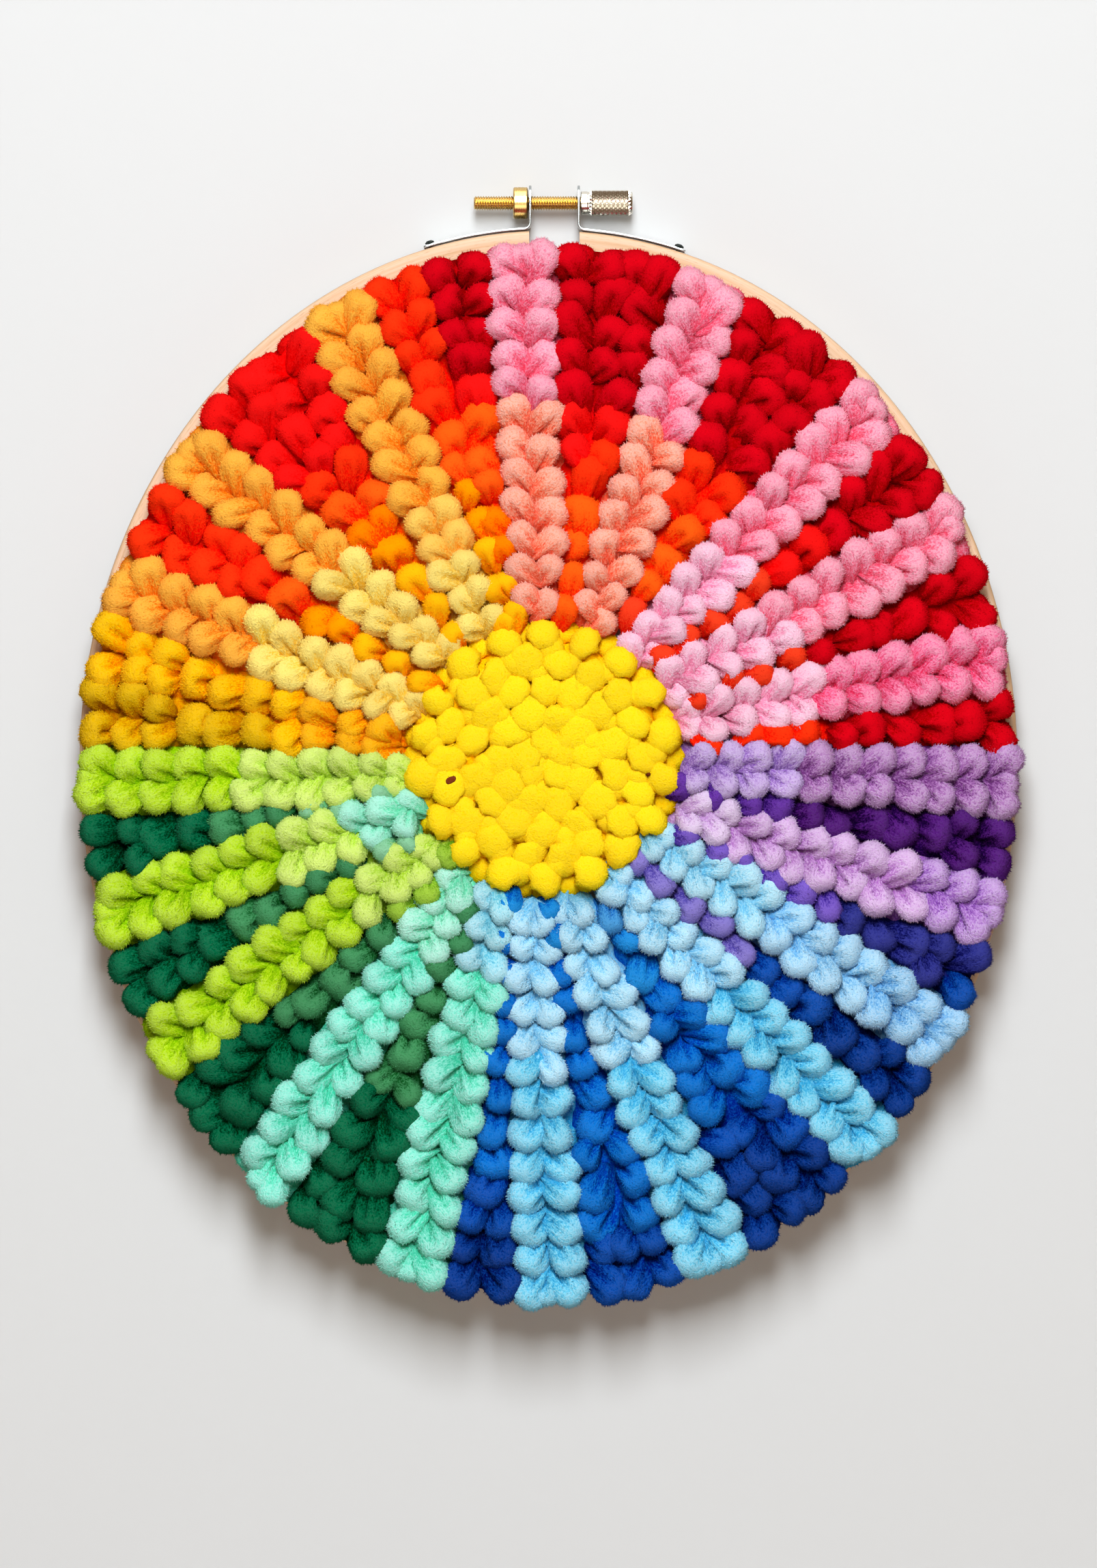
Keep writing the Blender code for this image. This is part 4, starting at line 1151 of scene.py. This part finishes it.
def cotton(hoop):
    """Undyed cotton in a plain weave, stretched tight: matt, with a square grid of threads."""
    matt = {"Roughness": 0.9, "Sheen Weight": 0.15}
    material, nodes, shader = new_material("plain_woven_cotton", matt)
    place = nodes.add("ShaderNodeTexCoord").outputs["Object"]
    spot = nodes.split(place)
    # Threads are 1.2 mm apart, as on coarse punch needle cloth.
    spacing = 1.2 * MM
    waves = []
    for axis in ("X", "Z"):
        turn = nodes.maths("MULTIPLY", spot[axis], math.pi / spacing)
        waves.append(nodes.maths("SINE", turn))
    weave = nodes.ramp(nodes.maths("MULTIPLY", *waves), -1.0, 1.0)
    shade = nodes.mix(weave, hex_colour("D8D4C8"), hoop.cloth)
    nodes.put(shade, shader["Base Color"])
    slub = nodes.noise(place, 500.0, 3.0)
    relief = nodes.maths("MULTIPLY_ADD", slub, 0.3, weave)
    nodes.put(nodes.bump(relief, 0.8, 0.3 * MM), shader["Normal"])
    return material


def metal(name, tone, roughness, scratch, streak=(900.0, 900.0, 900.0)):
    """A metal with a worn lustre: its roughness wanders and fine marks catch the light."""
    material, nodes, shader = new_material(name, {"Metallic": 1.0})
    place = nodes.add("ShaderNodeTexCoord").outputs["Object"]
    marks = nodes.noise(nodes.stretched(place, streak), 1.0, 4.0, 0.6)
    rough = nodes.ramp(marks, 0.0, 1.0, roughness * 0.7, roughness * 1.4)
    nodes.put(rough, shader["Roughness"])
    tarnish = nodes.add("ShaderNodeGamma", {"Color": tone, "Gamma": 1.35})
    nodes.put(nodes.mix(marks, tarnish, tone), shader["Base Color"])
    nodes.put(nodes.bump(marks, scratch, 0.02 * MM), shader["Normal"])
    return material


def oval_frame(outset, turn):
    """A point that far outside the hoop's oval and the oval's own outward direction there."""
    on_oval = Vector((HOOP_HALF_WIDTH * math.cos(turn), 0.0, HOOP_HALF_HEIGHT * math.sin(turn)))
    out = Vector((math.cos(turn) / HOOP_HALF_WIDTH, 0.0, math.sin(turn) / HOOP_HALF_HEIGHT))
    out.normalize()
    return HOOP_CENTRE + on_oval + out * outset, out


def rounded_section(wall, edge, steps=4):
    """A ring's section: (inwards from its outside, depth from its back), round its edges."""
    corners = (
        (edge, edge, math.pi),
        (wall - edge, edge, 1.5 * math.pi),
        (wall - edge, HOOP_DEPTH - edge, 0.0),
        (edge, HOOP_DEPTH - edge, 0.5 * math.pi),
    )
    section = []
    for across, deep, start in corners:
        for step in range(steps + 1):
            turn = start + 0.5 * math.pi * step / steps
            section.append((across + edge * math.cos(turn), deep + edge * math.sin(turn)))
    return section


def ring_mesh(name, outside, wall, hoop, gap=False):
    """A wooden ring swept round the oval. A sawn ring is open at the top and has end faces."""
    section = rounded_section(wall, hoop.edge)
    count = hoop.steps
    half = math.asin((SAWN_HALF_GAP + 0.02 * MM) / HOOP_HALF_WIDTH) if gap else 0.0
    shift = -HOOP_CENTRE.x / HOOP_HALF_WIDTH if gap else 0.0
    turns = []
    for step in range(count + gap):
        turns.append(math.pi / 2 + half - shift + (math.tau - 2 * half) * (step / count))
    points, grain = [], []
    for place, turn in enumerate(turns):
        for across, deep in section:
            point, _ = oval_frame(outside - across, turn)
            if gap and place in (0, count):
                point.x = -SAWN_HALF_GAP if place == 0 else SAWN_HALF_GAP
            points.append(point + FRONT * deep)
            grain += (0.135 * turn, across, deep)
    faces = []
    around = len(section)
    for place in range(count):
        here = place * around
        there = ((place + 1) % len(turns)) * around
        for step in range(around):
            after = (step + 1) % around
            faces.append((here + step, here + after, there + after, there + step))
    if gap:
        faces.append(tuple(range(around)))
        faces.append(tuple(range(count * around, count * around + around)))
    mesh = bpy.data.meshes.new(name)
    mesh.from_pydata(points, [], faces)
    set_values(mesh, "grain_place", "FLOAT_VECTOR", grain)
    face_outwards(mesh)
    smooth(mesh, 50)
    return mesh


def cloth_mesh(name, steps=160):
    """The cloth's face: flat over the inner ring, then back between the rings."""
    outside = -(OUTER_WALL + CLEARANCE)
    turns = [math.tau * step / steps for step in range(steps)]
    rows = []
    for share in (0.15, 0.4, 0.7, 0.93):
        points = [oval_frame(outside, turn)[0] - HOOP_CENTRE for turn in turns]
        rows.append([HOOP_CENTRE + point * share + FRONT * CLOTH_FRONT for point in points])
    for inset, depth in (
        (0.6 * MM, CLOTH_FRONT),
        (0.17 * MM, CLOTH_FRONT - 0.17 * MM),
        (0.0, CLOTH_FRONT - 0.6 * MM),
        (0.0, 6 * MM),
        (0.0, CLOTH_TRIM),
    ):
        rows.append([oval_frame(outside - inset, turn)[0] + FRONT * depth for turn in turns])
    work = bmesh.new()
    rows = [[work.verts.new(point) for point in row] for row in rows]
    middle = work.verts.new(HOOP_CENTRE + FRONT * CLOTH_FRONT)
    for step in range(steps):
        after = (step + 1) % steps
        work.faces.new((middle, rows[0][step], rows[0][after]))
        for row, following in zip(rows, rows[1:]):
            work.faces.new((row[step], following[step], following[after], row[after]))
    bmesh.ops.recalc_face_normals(work, faces=work.faces)
    if middle.normal.dot(FRONT) < 0.0:
        bmesh.ops.reverse_faces(work, faces=work.faces)
    return to_mesh(work, name)


def strip_path(side):
    """A strip's line in the XZ plane: along the hoop, round a small bend and up its ear."""
    bend_start = EAR_PLACE + STRIP_BEND
    foot_steps = 24
    bend_steps = 8
    path = []
    for step in range(foot_steps + 1):
        reach = FOOT_REACH - (FOOT_REACH - bend_start) * step / foot_steps
        turn = math.acos((side * reach - HOOP_CENTRE.x) / HOOP_HALF_WIDTH)
        path.append(oval_frame(CLEARANCE + STRIP_THICKNESS / 2, turn)[0])
    middle = path[-1] + Vector((0.0, 0.0, STRIP_BEND))
    for step in range(1, bend_steps + 1):
        turn = math.pi / 2 * step / bend_steps
        across = Vector((-side * math.sin(turn), 0.0, -math.cos(turn)))
        path.append(middle + across * STRIP_BEND)
    path.append(Vector((path[-1].x, 0.0, EAR_TOP)))
    return path


def strip_mesh(name, side):
    """A bent steel strip with a rounded ear, before it gets its thickness."""
    work = bmesh.new()
    line = [work.verts.new(point + Vector((0.0, STRIP_BACK, 0.0))) for point in strip_path(side)]
    edges = [work.edges.new(pair) for pair in zip(line, line[1:])]
    swept = bmesh.ops.extrude_edge_only(work, edges=edges)["geom"]
    front = [part for part in swept if isinstance(part, bmesh.types.BMVert)]
    bmesh.ops.translate(work, vec=(0.0, STRIP_FRONT - STRIP_BACK, 0.0), verts=front)
    corners = [vertex for vertex in work.verts if abs(vertex.co.z - EAR_TOP) < 0.01 * MM]
    bmesh.ops.bevel(
        work, geom=corners, offset=EAR_ROUNDING, segments=10, profile=0.5, affect="VERTICES"
    )
    bmesh.ops.recalc_face_normals(work, faces=work.faces)
    return to_mesh(work, name)


def build_strip(node, side, material):
    """A strip with its bore for the screw and softened edges."""
    piece = add_piece(node + "_steel", strip_mesh(node, side), material)
    thicken(piece, STRIP_THICKNESS, 0.0)
    work = bmesh.new()
    turn = Matrix.Rotation(math.pi / 2, 4, "Y")
    place = Matrix.Translation((side * EAR_PLACE, SCREW_DEPTH, SCREW_HEIGHT))
    bmesh.ops.create_cone(
        work,
        cap_ends=True,
        segments=32,
        radius1=BORE_RADIUS,
        radius2=BORE_RADIUS,
        depth=4 * MM,
        matrix=place @ turn,
    )
    cut = piece.modifiers.new("bore", "BOOLEAN")
    cut.operation = "DIFFERENCE"
    cut.solver = "EXACT"
    cutter = add_object("bore", to_mesh(work, "bore"))
    cut.object = cutter
    soft = piece.modifiers.new("soft_edge", "BEVEL")
    soft.width = 0.15 * MM
    soft.segments = 2
    soft.limit_method = "ANGLE"
    soft.angle_limit = math.radians(50)
    settle(piece)
    bpy.data.objects.remove(cutter)
    smooth(piece.data, 40)
    return stand_for(piece, node, "zinc_plated_steel")


def revolved(name, rows, close_ends=True):
    """A mesh round the screw's axis from rows of (distance along X, radii round the axis)."""
    points, faces = [], []
    steps = len(rows[0][1])
    for along, radii in rows:
        for step, radius in enumerate(radii):
            turn = math.tau * step / steps
            deep, high = radius * math.cos(turn), radius * math.sin(turn)
            points.append((along, SCREW_DEPTH + deep, SCREW_HEIGHT + high))
    for row in range(len(rows) - 1):
        here, there = row * steps, (row + 1) * steps
        for step in range(steps):
            after = (step + 1) % steps
            a, b, c, d = here + step, here + after, there + after, there + step
            if (row + step) % 2 == 0:
                faces += [(a, b, c), (a, c, d)]
            else:
                faces += [(a, b, d), (b, c, d)]
    if close_ends:
        faces.append(tuple(range(steps)))
        faces.append(tuple(range((len(rows) - 1) * steps, len(rows) * steps)))
    mesh = bpy.data.meshes.new(name)
    mesh.from_pydata(points, [], faces)
    face_outwards(mesh, 0.001 * MM)
    return mesh


def thread_rows(clamp):
    """The screw's surface: a thread from its tip to its end, with a tapered start."""
    steps = 20
    per_pitch = 6
    length = SCREW_END - SCREW_TIP
    count = round(length / clamp.thread_pitch * per_pitch)
    rows = []
    for row in range(count + 1):
        along = length * row / count
        start = clamp.screw_radius - 0.5 * MM + along
        radii = []
        for step in range(steps):
            phase = along / clamp.thread_pitch + step / steps
            wave = 0.5 - 0.5 * math.cos(math.tau * phase)
            radii.append(min(clamp.screw_radius - GROOVE * wave, start))
        rows.append((SCREW_TIP + along, radii))
    return rows


def plain_rows(stations, steps):
    """Rows of one radius each, from (distance along X, radius)."""
    return [(along, [radius] * steps) for along, radius in stations]


def head_rows(clamp):
    """The knurled head: crossed grooves leave a small pyramid at every other point."""
    steps = 2 * clamp.knurls
    radius = clamp.head_radius
    groove = radius - GROOVE
    start = EAR_FACE + 2.0 * MM
    first, last = start + 0.3 * MM, HEAD_END - 0.5 * MM
    neck = (
        (EAR_FACE, BORE_RADIUS),
        (EAR_FACE, 3.0 * MM),
        (EAR_FACE + 0.2 * MM, 3.2 * MM),
        (start - 0.3 * MM, 3.2 * MM),
        (start, groove),
        (first, groove),
    )
    end = ((last, groove), (HEAD_END - 0.1 * MM, radius - 0.6 * MM), (HEAD_END, radius - 0.8 * MM))
    rows = plain_rows(neck, steps)
    count = 19
    for row in range(1, count):
        along = first + (last - first) * row / count
        radii = [radius if (row + step) % 2 else groove for step in range(steps)]
        rows.append((along, radii))
    return rows + plain_rows(end, steps)


def nut_mesh(name):
    """The round brass nut: plain, with turned edges and a bore."""
    left, right = -EAR_FACE - NUT_LENGTH, -EAR_FACE
    half = [(0.0, BORE_RADIUS), (0.0, 3.95 * MM), (0.15 * MM, 4.2 * MM), (0.4 * MM, 4.35 * MM)]
    stations = [(right - inset, radius) for inset, radius in half]
    stations += [(left + inset, radius) for inset, radius in reversed(half)]
    mesh = revolved(name, plain_rows(stations, 64), close_ends=False)
    work = bmesh.new()
    work.from_mesh(mesh)
    bmesh.ops.bridge_loops(work, edges=[edge for edge in work.edges if edge.is_boundary])
    bmesh.ops.recalc_face_normals(work, faces=work.faces)
    return to_mesh(work, mesh)


def clamp_piece(name, node, slot, mesh, material, angle):
    """A turned piece of the clamp."""
    smooth(mesh, angle)
    return stand_for(add_piece(name, mesh, material), node, slot)


class WALLPIECE_OT_rings(bpy.types.Operator):
    """Makes the outer and the inner wooden ring."""

    bl_idname = "wall_piece.rings"
    bl_label = "Wooden rings"

    def execute(self, context):
        hoop = context.scene.wall_piece_hoop
        wood = beech(hoop)
        gripped = -(OUTER_WALL + CLOTH_THICKNESS + 2 * CLEARANCE)
        for node, outside, wall, gap in (
            ("outer_hoop", 0.0, OUTER_WALL, True),
            ("inner_hoop", gripped, INNER_WALL, False),
        ):
            mesh = ring_mesh(node + "_wood", outside, wall, hoop, gap)
            stand_for(add_piece(node + "_wood", mesh, wood), node, "pale_beech")
        return {"FINISHED"}


class WALLPIECE_OT_cloth(bpy.types.Operator):
    """Makes the stretched cloth, turned back between the rings."""

    bl_idname = "wall_piece.cloth"
    bl_label = "Stretched cloth"

    def execute(self, context):
        name = "stretched_cotton"
        piece = add_piece(name, cloth_mesh(name), cotton(context.scene.wall_piece_hoop))
        thicken(piece, CLOTH_THICKNESS, -1.0)
        settle(piece)
        smooth(piece.data, 60)
        stand_for(piece, "backing_cloth", "off_white_cloth")
        return {"FINISHED"}


class WALLPIECE_OT_clamp(bpy.types.Operator):
    """Makes the strips, the screw, its nut and its head, and finishes the brads."""

    bl_idname = "wall_piece.clamp"
    bl_label = "Clamp"

    def execute(self, context):
        clamp = context.scene.wall_piece_clamp
        # Bright zinc plate on rolled steel strip: a cool grey mirror, faintly brushed.
        steel = metal("zinc_plated_steel_strip", clamp.steel, 0.22, 0.3, (600.0, 3000.0, 600.0))
        # Brass turned on a lathe and left bare: warm yellow with fine rings.
        brass = metal("bare_turned_brass", clamp.brass, 0.25, 0.4, (4000.0, 400.0, 400.0))
        # Nickel plate over turned brass: a warm pale mirror.
        rings = (3000.0, 500.0, 500.0)
        nickel = metal("nickel_plated_turned_brass", clamp.nickel, 0.2, 0.3, rings)
        # Steel brads in a dark grey-green.
        dark = metal("dark_oxide_steel", hex_colour("3C423F"), 0.4, 0.4)
        build_strip("left_strip", -1, steel)
        build_strip("right_strip", 1, steel)
        screw = revolved("clamp_screw_brass", thread_rows(clamp))
        clamp_piece("clamp_screw_brass", "clamp_screw", "turned_brass", screw, brass, 60)
        nut = nut_mesh("round_nut_brass")
        clamp_piece("round_nut_brass", "brass_nut", "turned_brass", nut, brass, 25)
        head = revolved("knurled_head_nickel", head_rows(clamp))
        slot = "nickel_plated_brass"
        clamp_piece("knurled_head_nickel", "knurled_head", slot, head, nickel, 15)
        for node in ("left_brad", "right_brad"):
            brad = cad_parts[node]
            brad.data.materials.clear()
            brad.data.materials.append(dark)
        return {"FINISHED"}


class WALLPIECE_OT_sun(bpy.types.Operator):
    """Makes the sun's round nubs."""

    bl_idname = "wall_piece.sun"
    bl_label = "Sun"

    def execute(self, context):
        form = (0.08, -4.0 * MM, 0.86, 0.75)
        build_field("sun", "yellow_yarn", sun_loops(), ((0, "yellow"),), 1, form)
        return {"FINISHED"}


class WALLPIECE_OT_rays(bpy.types.Operator):
    """Makes the light rays of paired loops."""

    bl_idname = "wall_piece.rays"
    bl_label = "Rays"

    def execute(self, context):
        for number, ray in enumerate(RAYS, 1):
            loops = ray_loops(number, context.scene.wall_piece_pile)
            build_field(f"ray_{number:02d}", ray.slot, loops, ray.yarns, 20 + number)
        return {"FINISHED"}


class WALLPIECE_OT_grounds(bpy.types.Operator):
    """Makes the darker grounds between the rays."""

    bl_idname = "wall_piece.grounds"
    bl_label = "Grounds"

    def execute(self, context):
        for number, ground in enumerate(GROUNDS, 1):
            loops = ground_loops(number, context.scene.wall_piece_pile)
            build_field(f"ground_{number:02d}", ground.slot, loops, ground.yarns, 50 + number)
        return {"FINISHED"}


class WALLPIECE_OT_stitches(bpy.types.Operator):
    """Makes the flat stitches on the back of the cloth, one piece for each kind of yarn."""

    bl_idname = "wall_piece.stitches"
    bl_label = "Back stitches"

    def execute(self, context):
        pile = context.scene.wall_piece_pile
        kinds = {"yellow_yarn": sun_loops()}
        for fields, make in ((RAYS, ray_loops), (GROUNDS, ground_loops)):
            for number, field in enumerate(fields, 1):
                kinds.setdefault(field.slot, []).extend(make(number, pile))
        for slot, loops in kinds.items():
            back_stitches(slot, loops)
        return {"FINISHED"}


def stage_material(name, tone, from_behind):
    """Matt wall paint. The wall lets what is behind it be seen from behind."""
    material, nodes, _ = new_material(name, {"Base Color": tone, "Roughness": 0.9})
    if from_behind:
        facing = nodes.add("ShaderNodeNewGeometry").outputs["Backfacing"]
        clear = nodes.add("ShaderNodeBsdfTransparent")
        paint = nodes.tree.nodes["Principled BSDF"]
        mixed = nodes.add("ShaderNodeMixShader", {0: facing, 1: paint, 2: clear})
        nodes.put(mixed, nodes.tree.nodes["Material Output"].inputs["Surface"])
    return material


def plane(name, corners, material):
    """A flat face of the stage."""
    mesh = bpy.data.meshes.new(name)
    mesh.from_pydata(corners, [], [(0, 1, 2, 3)])
    thing = add_piece(name, mesh, material)
    return thing


def area_light(name, place, target, size, power, code):
    """A rectangular light at a place, turned towards its target."""
    light = bpy.data.lights.new(name, "AREA")
    light.color = hex_colour(code)[:3]
    light.shape = "RECTANGLE"
    light.size, light.size_y = size
    light.energy = power
    thing = add_object(name, light)
    thing.location = place
    thing.rotation_euler = (Vector(target) - Vector(place)).to_track_quat("-Z", "Y").to_euler()
    return thing


class WALLPIECE_OT_stage(bpy.types.Operator):
    """Makes the wall, the floor, the lights and the camera."""

    bl_idname = "wall_piece.stage"
    bl_label = "Stage"

    def execute(self, context):
        stage = context.scene.wall_piece_stage
        wide, low, high, behind = 3.0, -1.0, 2.0, 0.001
        corners = ((-wide, low), (wide, low), (wide, high), (-wide, high))
        wall = plane(
            "wall",
            [(x, behind, z) for x, z in corners],
            stage_material("matt_wall_paint", stage.wall, True),
        )
        wall.visible_shadow = False
        wall.visible_diffuse = False
        corners = ((-wide, -wide), (wide, -wide), (wide, wide), (-wide, wide))
        plane(
            "floor",
            [(x, y, low) for x, y in corners],
            stage_material("matt_floor_paint", stage.wall, False),
        )
        centre = Vector((-0.0016, 0.0, -0.1559))
        area_light("key", (-0.02, -1.36, 0.64), centre, (0.4, 1.0), stage.key_power, "F0F8FF")
        # White cards below and above the camera, which only the metal mirrors.
        for name, place, deep, power in (
            ("low_card", (0.1, -1.3, -0.9), 1.2, 16.0),
            ("high_card", (0.1, -0.65, 1.4), 2.0, 42.0),
        ):
            card = area_light(name, place, (0.0, 0.0, 0.0), (1.8, deep), power, "FFFFFF")
            card.visible_diffuse = False
        area_light("fill", (0.1, -1.8, 0.0), centre, (1.6, 1.6), stage.fill_power, "FFEEDC")
        world = bpy.data.worlds.new("studio")
        world.use_nodes = True
        background = world.node_tree.nodes["Background"].inputs
        background["Color"].default_value = hex_colour("FFD4A8")
        background["Strength"].default_value = 0.175
        context.scene.world = world
        context.scene.view_settings.view_transform = "Standard"
        # The camera: its picture is picture_height tall at the hoop's middle depth.
        distance = 4.0
        picture_height = 0.4252
        middle_depth = -0.015
        lens = bpy.data.cameras.new("camera")
        lens.sensor_fit = "AUTO"
        lens.sensor_width = 36.0
        lens.lens = lens.sensor_width * distance / picture_height
        lens.clip_end = 20.0
        camera = add_object("camera", lens)
        camera.location = (centre.x, middle_depth - distance, centre.z)
        camera.rotation_euler = (math.pi / 2, 0.0, 0.0)
        context.scene.camera = camera
        return {"FINISHED"}


PANEL = (
    ("wall_piece_hoop", ("wall_piece.rings", "wall_piece.cloth")),
    ("wall_piece_clamp", ("wall_piece.clamp",)),
    (
        "wall_piece_pile",
        ("wall_piece.sun", "wall_piece.rays", "wall_piece.grounds", "wall_piece.stitches"),
    ),
    ("wall_piece_stage", ("wall_piece.stage",)),
)


class WALLPIECE_PT_panel(bpy.types.Panel):
    """Lists the wall piece's sizes, colours and operators."""

    bl_idname = "WALLPIECE_PT_panel"
    bl_label = "Wall piece"
    bl_space_type = "VIEW_3D"
    bl_region_type = "UI"
    bl_category = "Wall piece"

    def draw(self, context):
        for group, names in PANEL:
            box = self.layout.box()
            settings = getattr(context.scene, group)
            for name in settings.__annotations__:
                box.prop(settings, name)
            for name in names:
                box.operator(name)


GROUPS = {
    "wall_piece_hoop": HoopSettings,
    "wall_piece_clamp": ClampSettings,
    "wall_piece_pile": PileSettings,
    "wall_piece_stage": StageSettings,
}
CLASSES = (
    *GROUPS.values(),
    WALLPIECE_OT_rings,
    WALLPIECE_OT_cloth,
    WALLPIECE_OT_clamp,
    WALLPIECE_OT_sun,
    WALLPIECE_OT_rays,
    WALLPIECE_OT_grounds,
    WALLPIECE_OT_stitches,
    WALLPIECE_OT_stage,
    WALLPIECE_PT_panel,
)


def register():
    for item in CLASSES:
        bpy.utils.register_class(item)
    for name, group in GROUPS.items():
        setattr(bpy.types.Scene, name, PointerProperty(type=group))


def unregister():
    for name in GROUPS:
        delattr(bpy.types.Scene, name)
    for item in reversed(CLASSES):
        bpy.utils.unregister_class(item)


def main():
    """Makes every piece in order."""
    register()
    bpy.ops.wall_piece.rings()
    bpy.ops.wall_piece.cloth()
    bpy.ops.wall_piece.clamp()
    bpy.ops.wall_piece.sun()
    bpy.ops.wall_piece.rays()
    bpy.ops.wall_piece.grounds()
    bpy.ops.wall_piece.stitches()
    bpy.ops.wall_piece.stage()


if __name__ == "__main__":
    main()
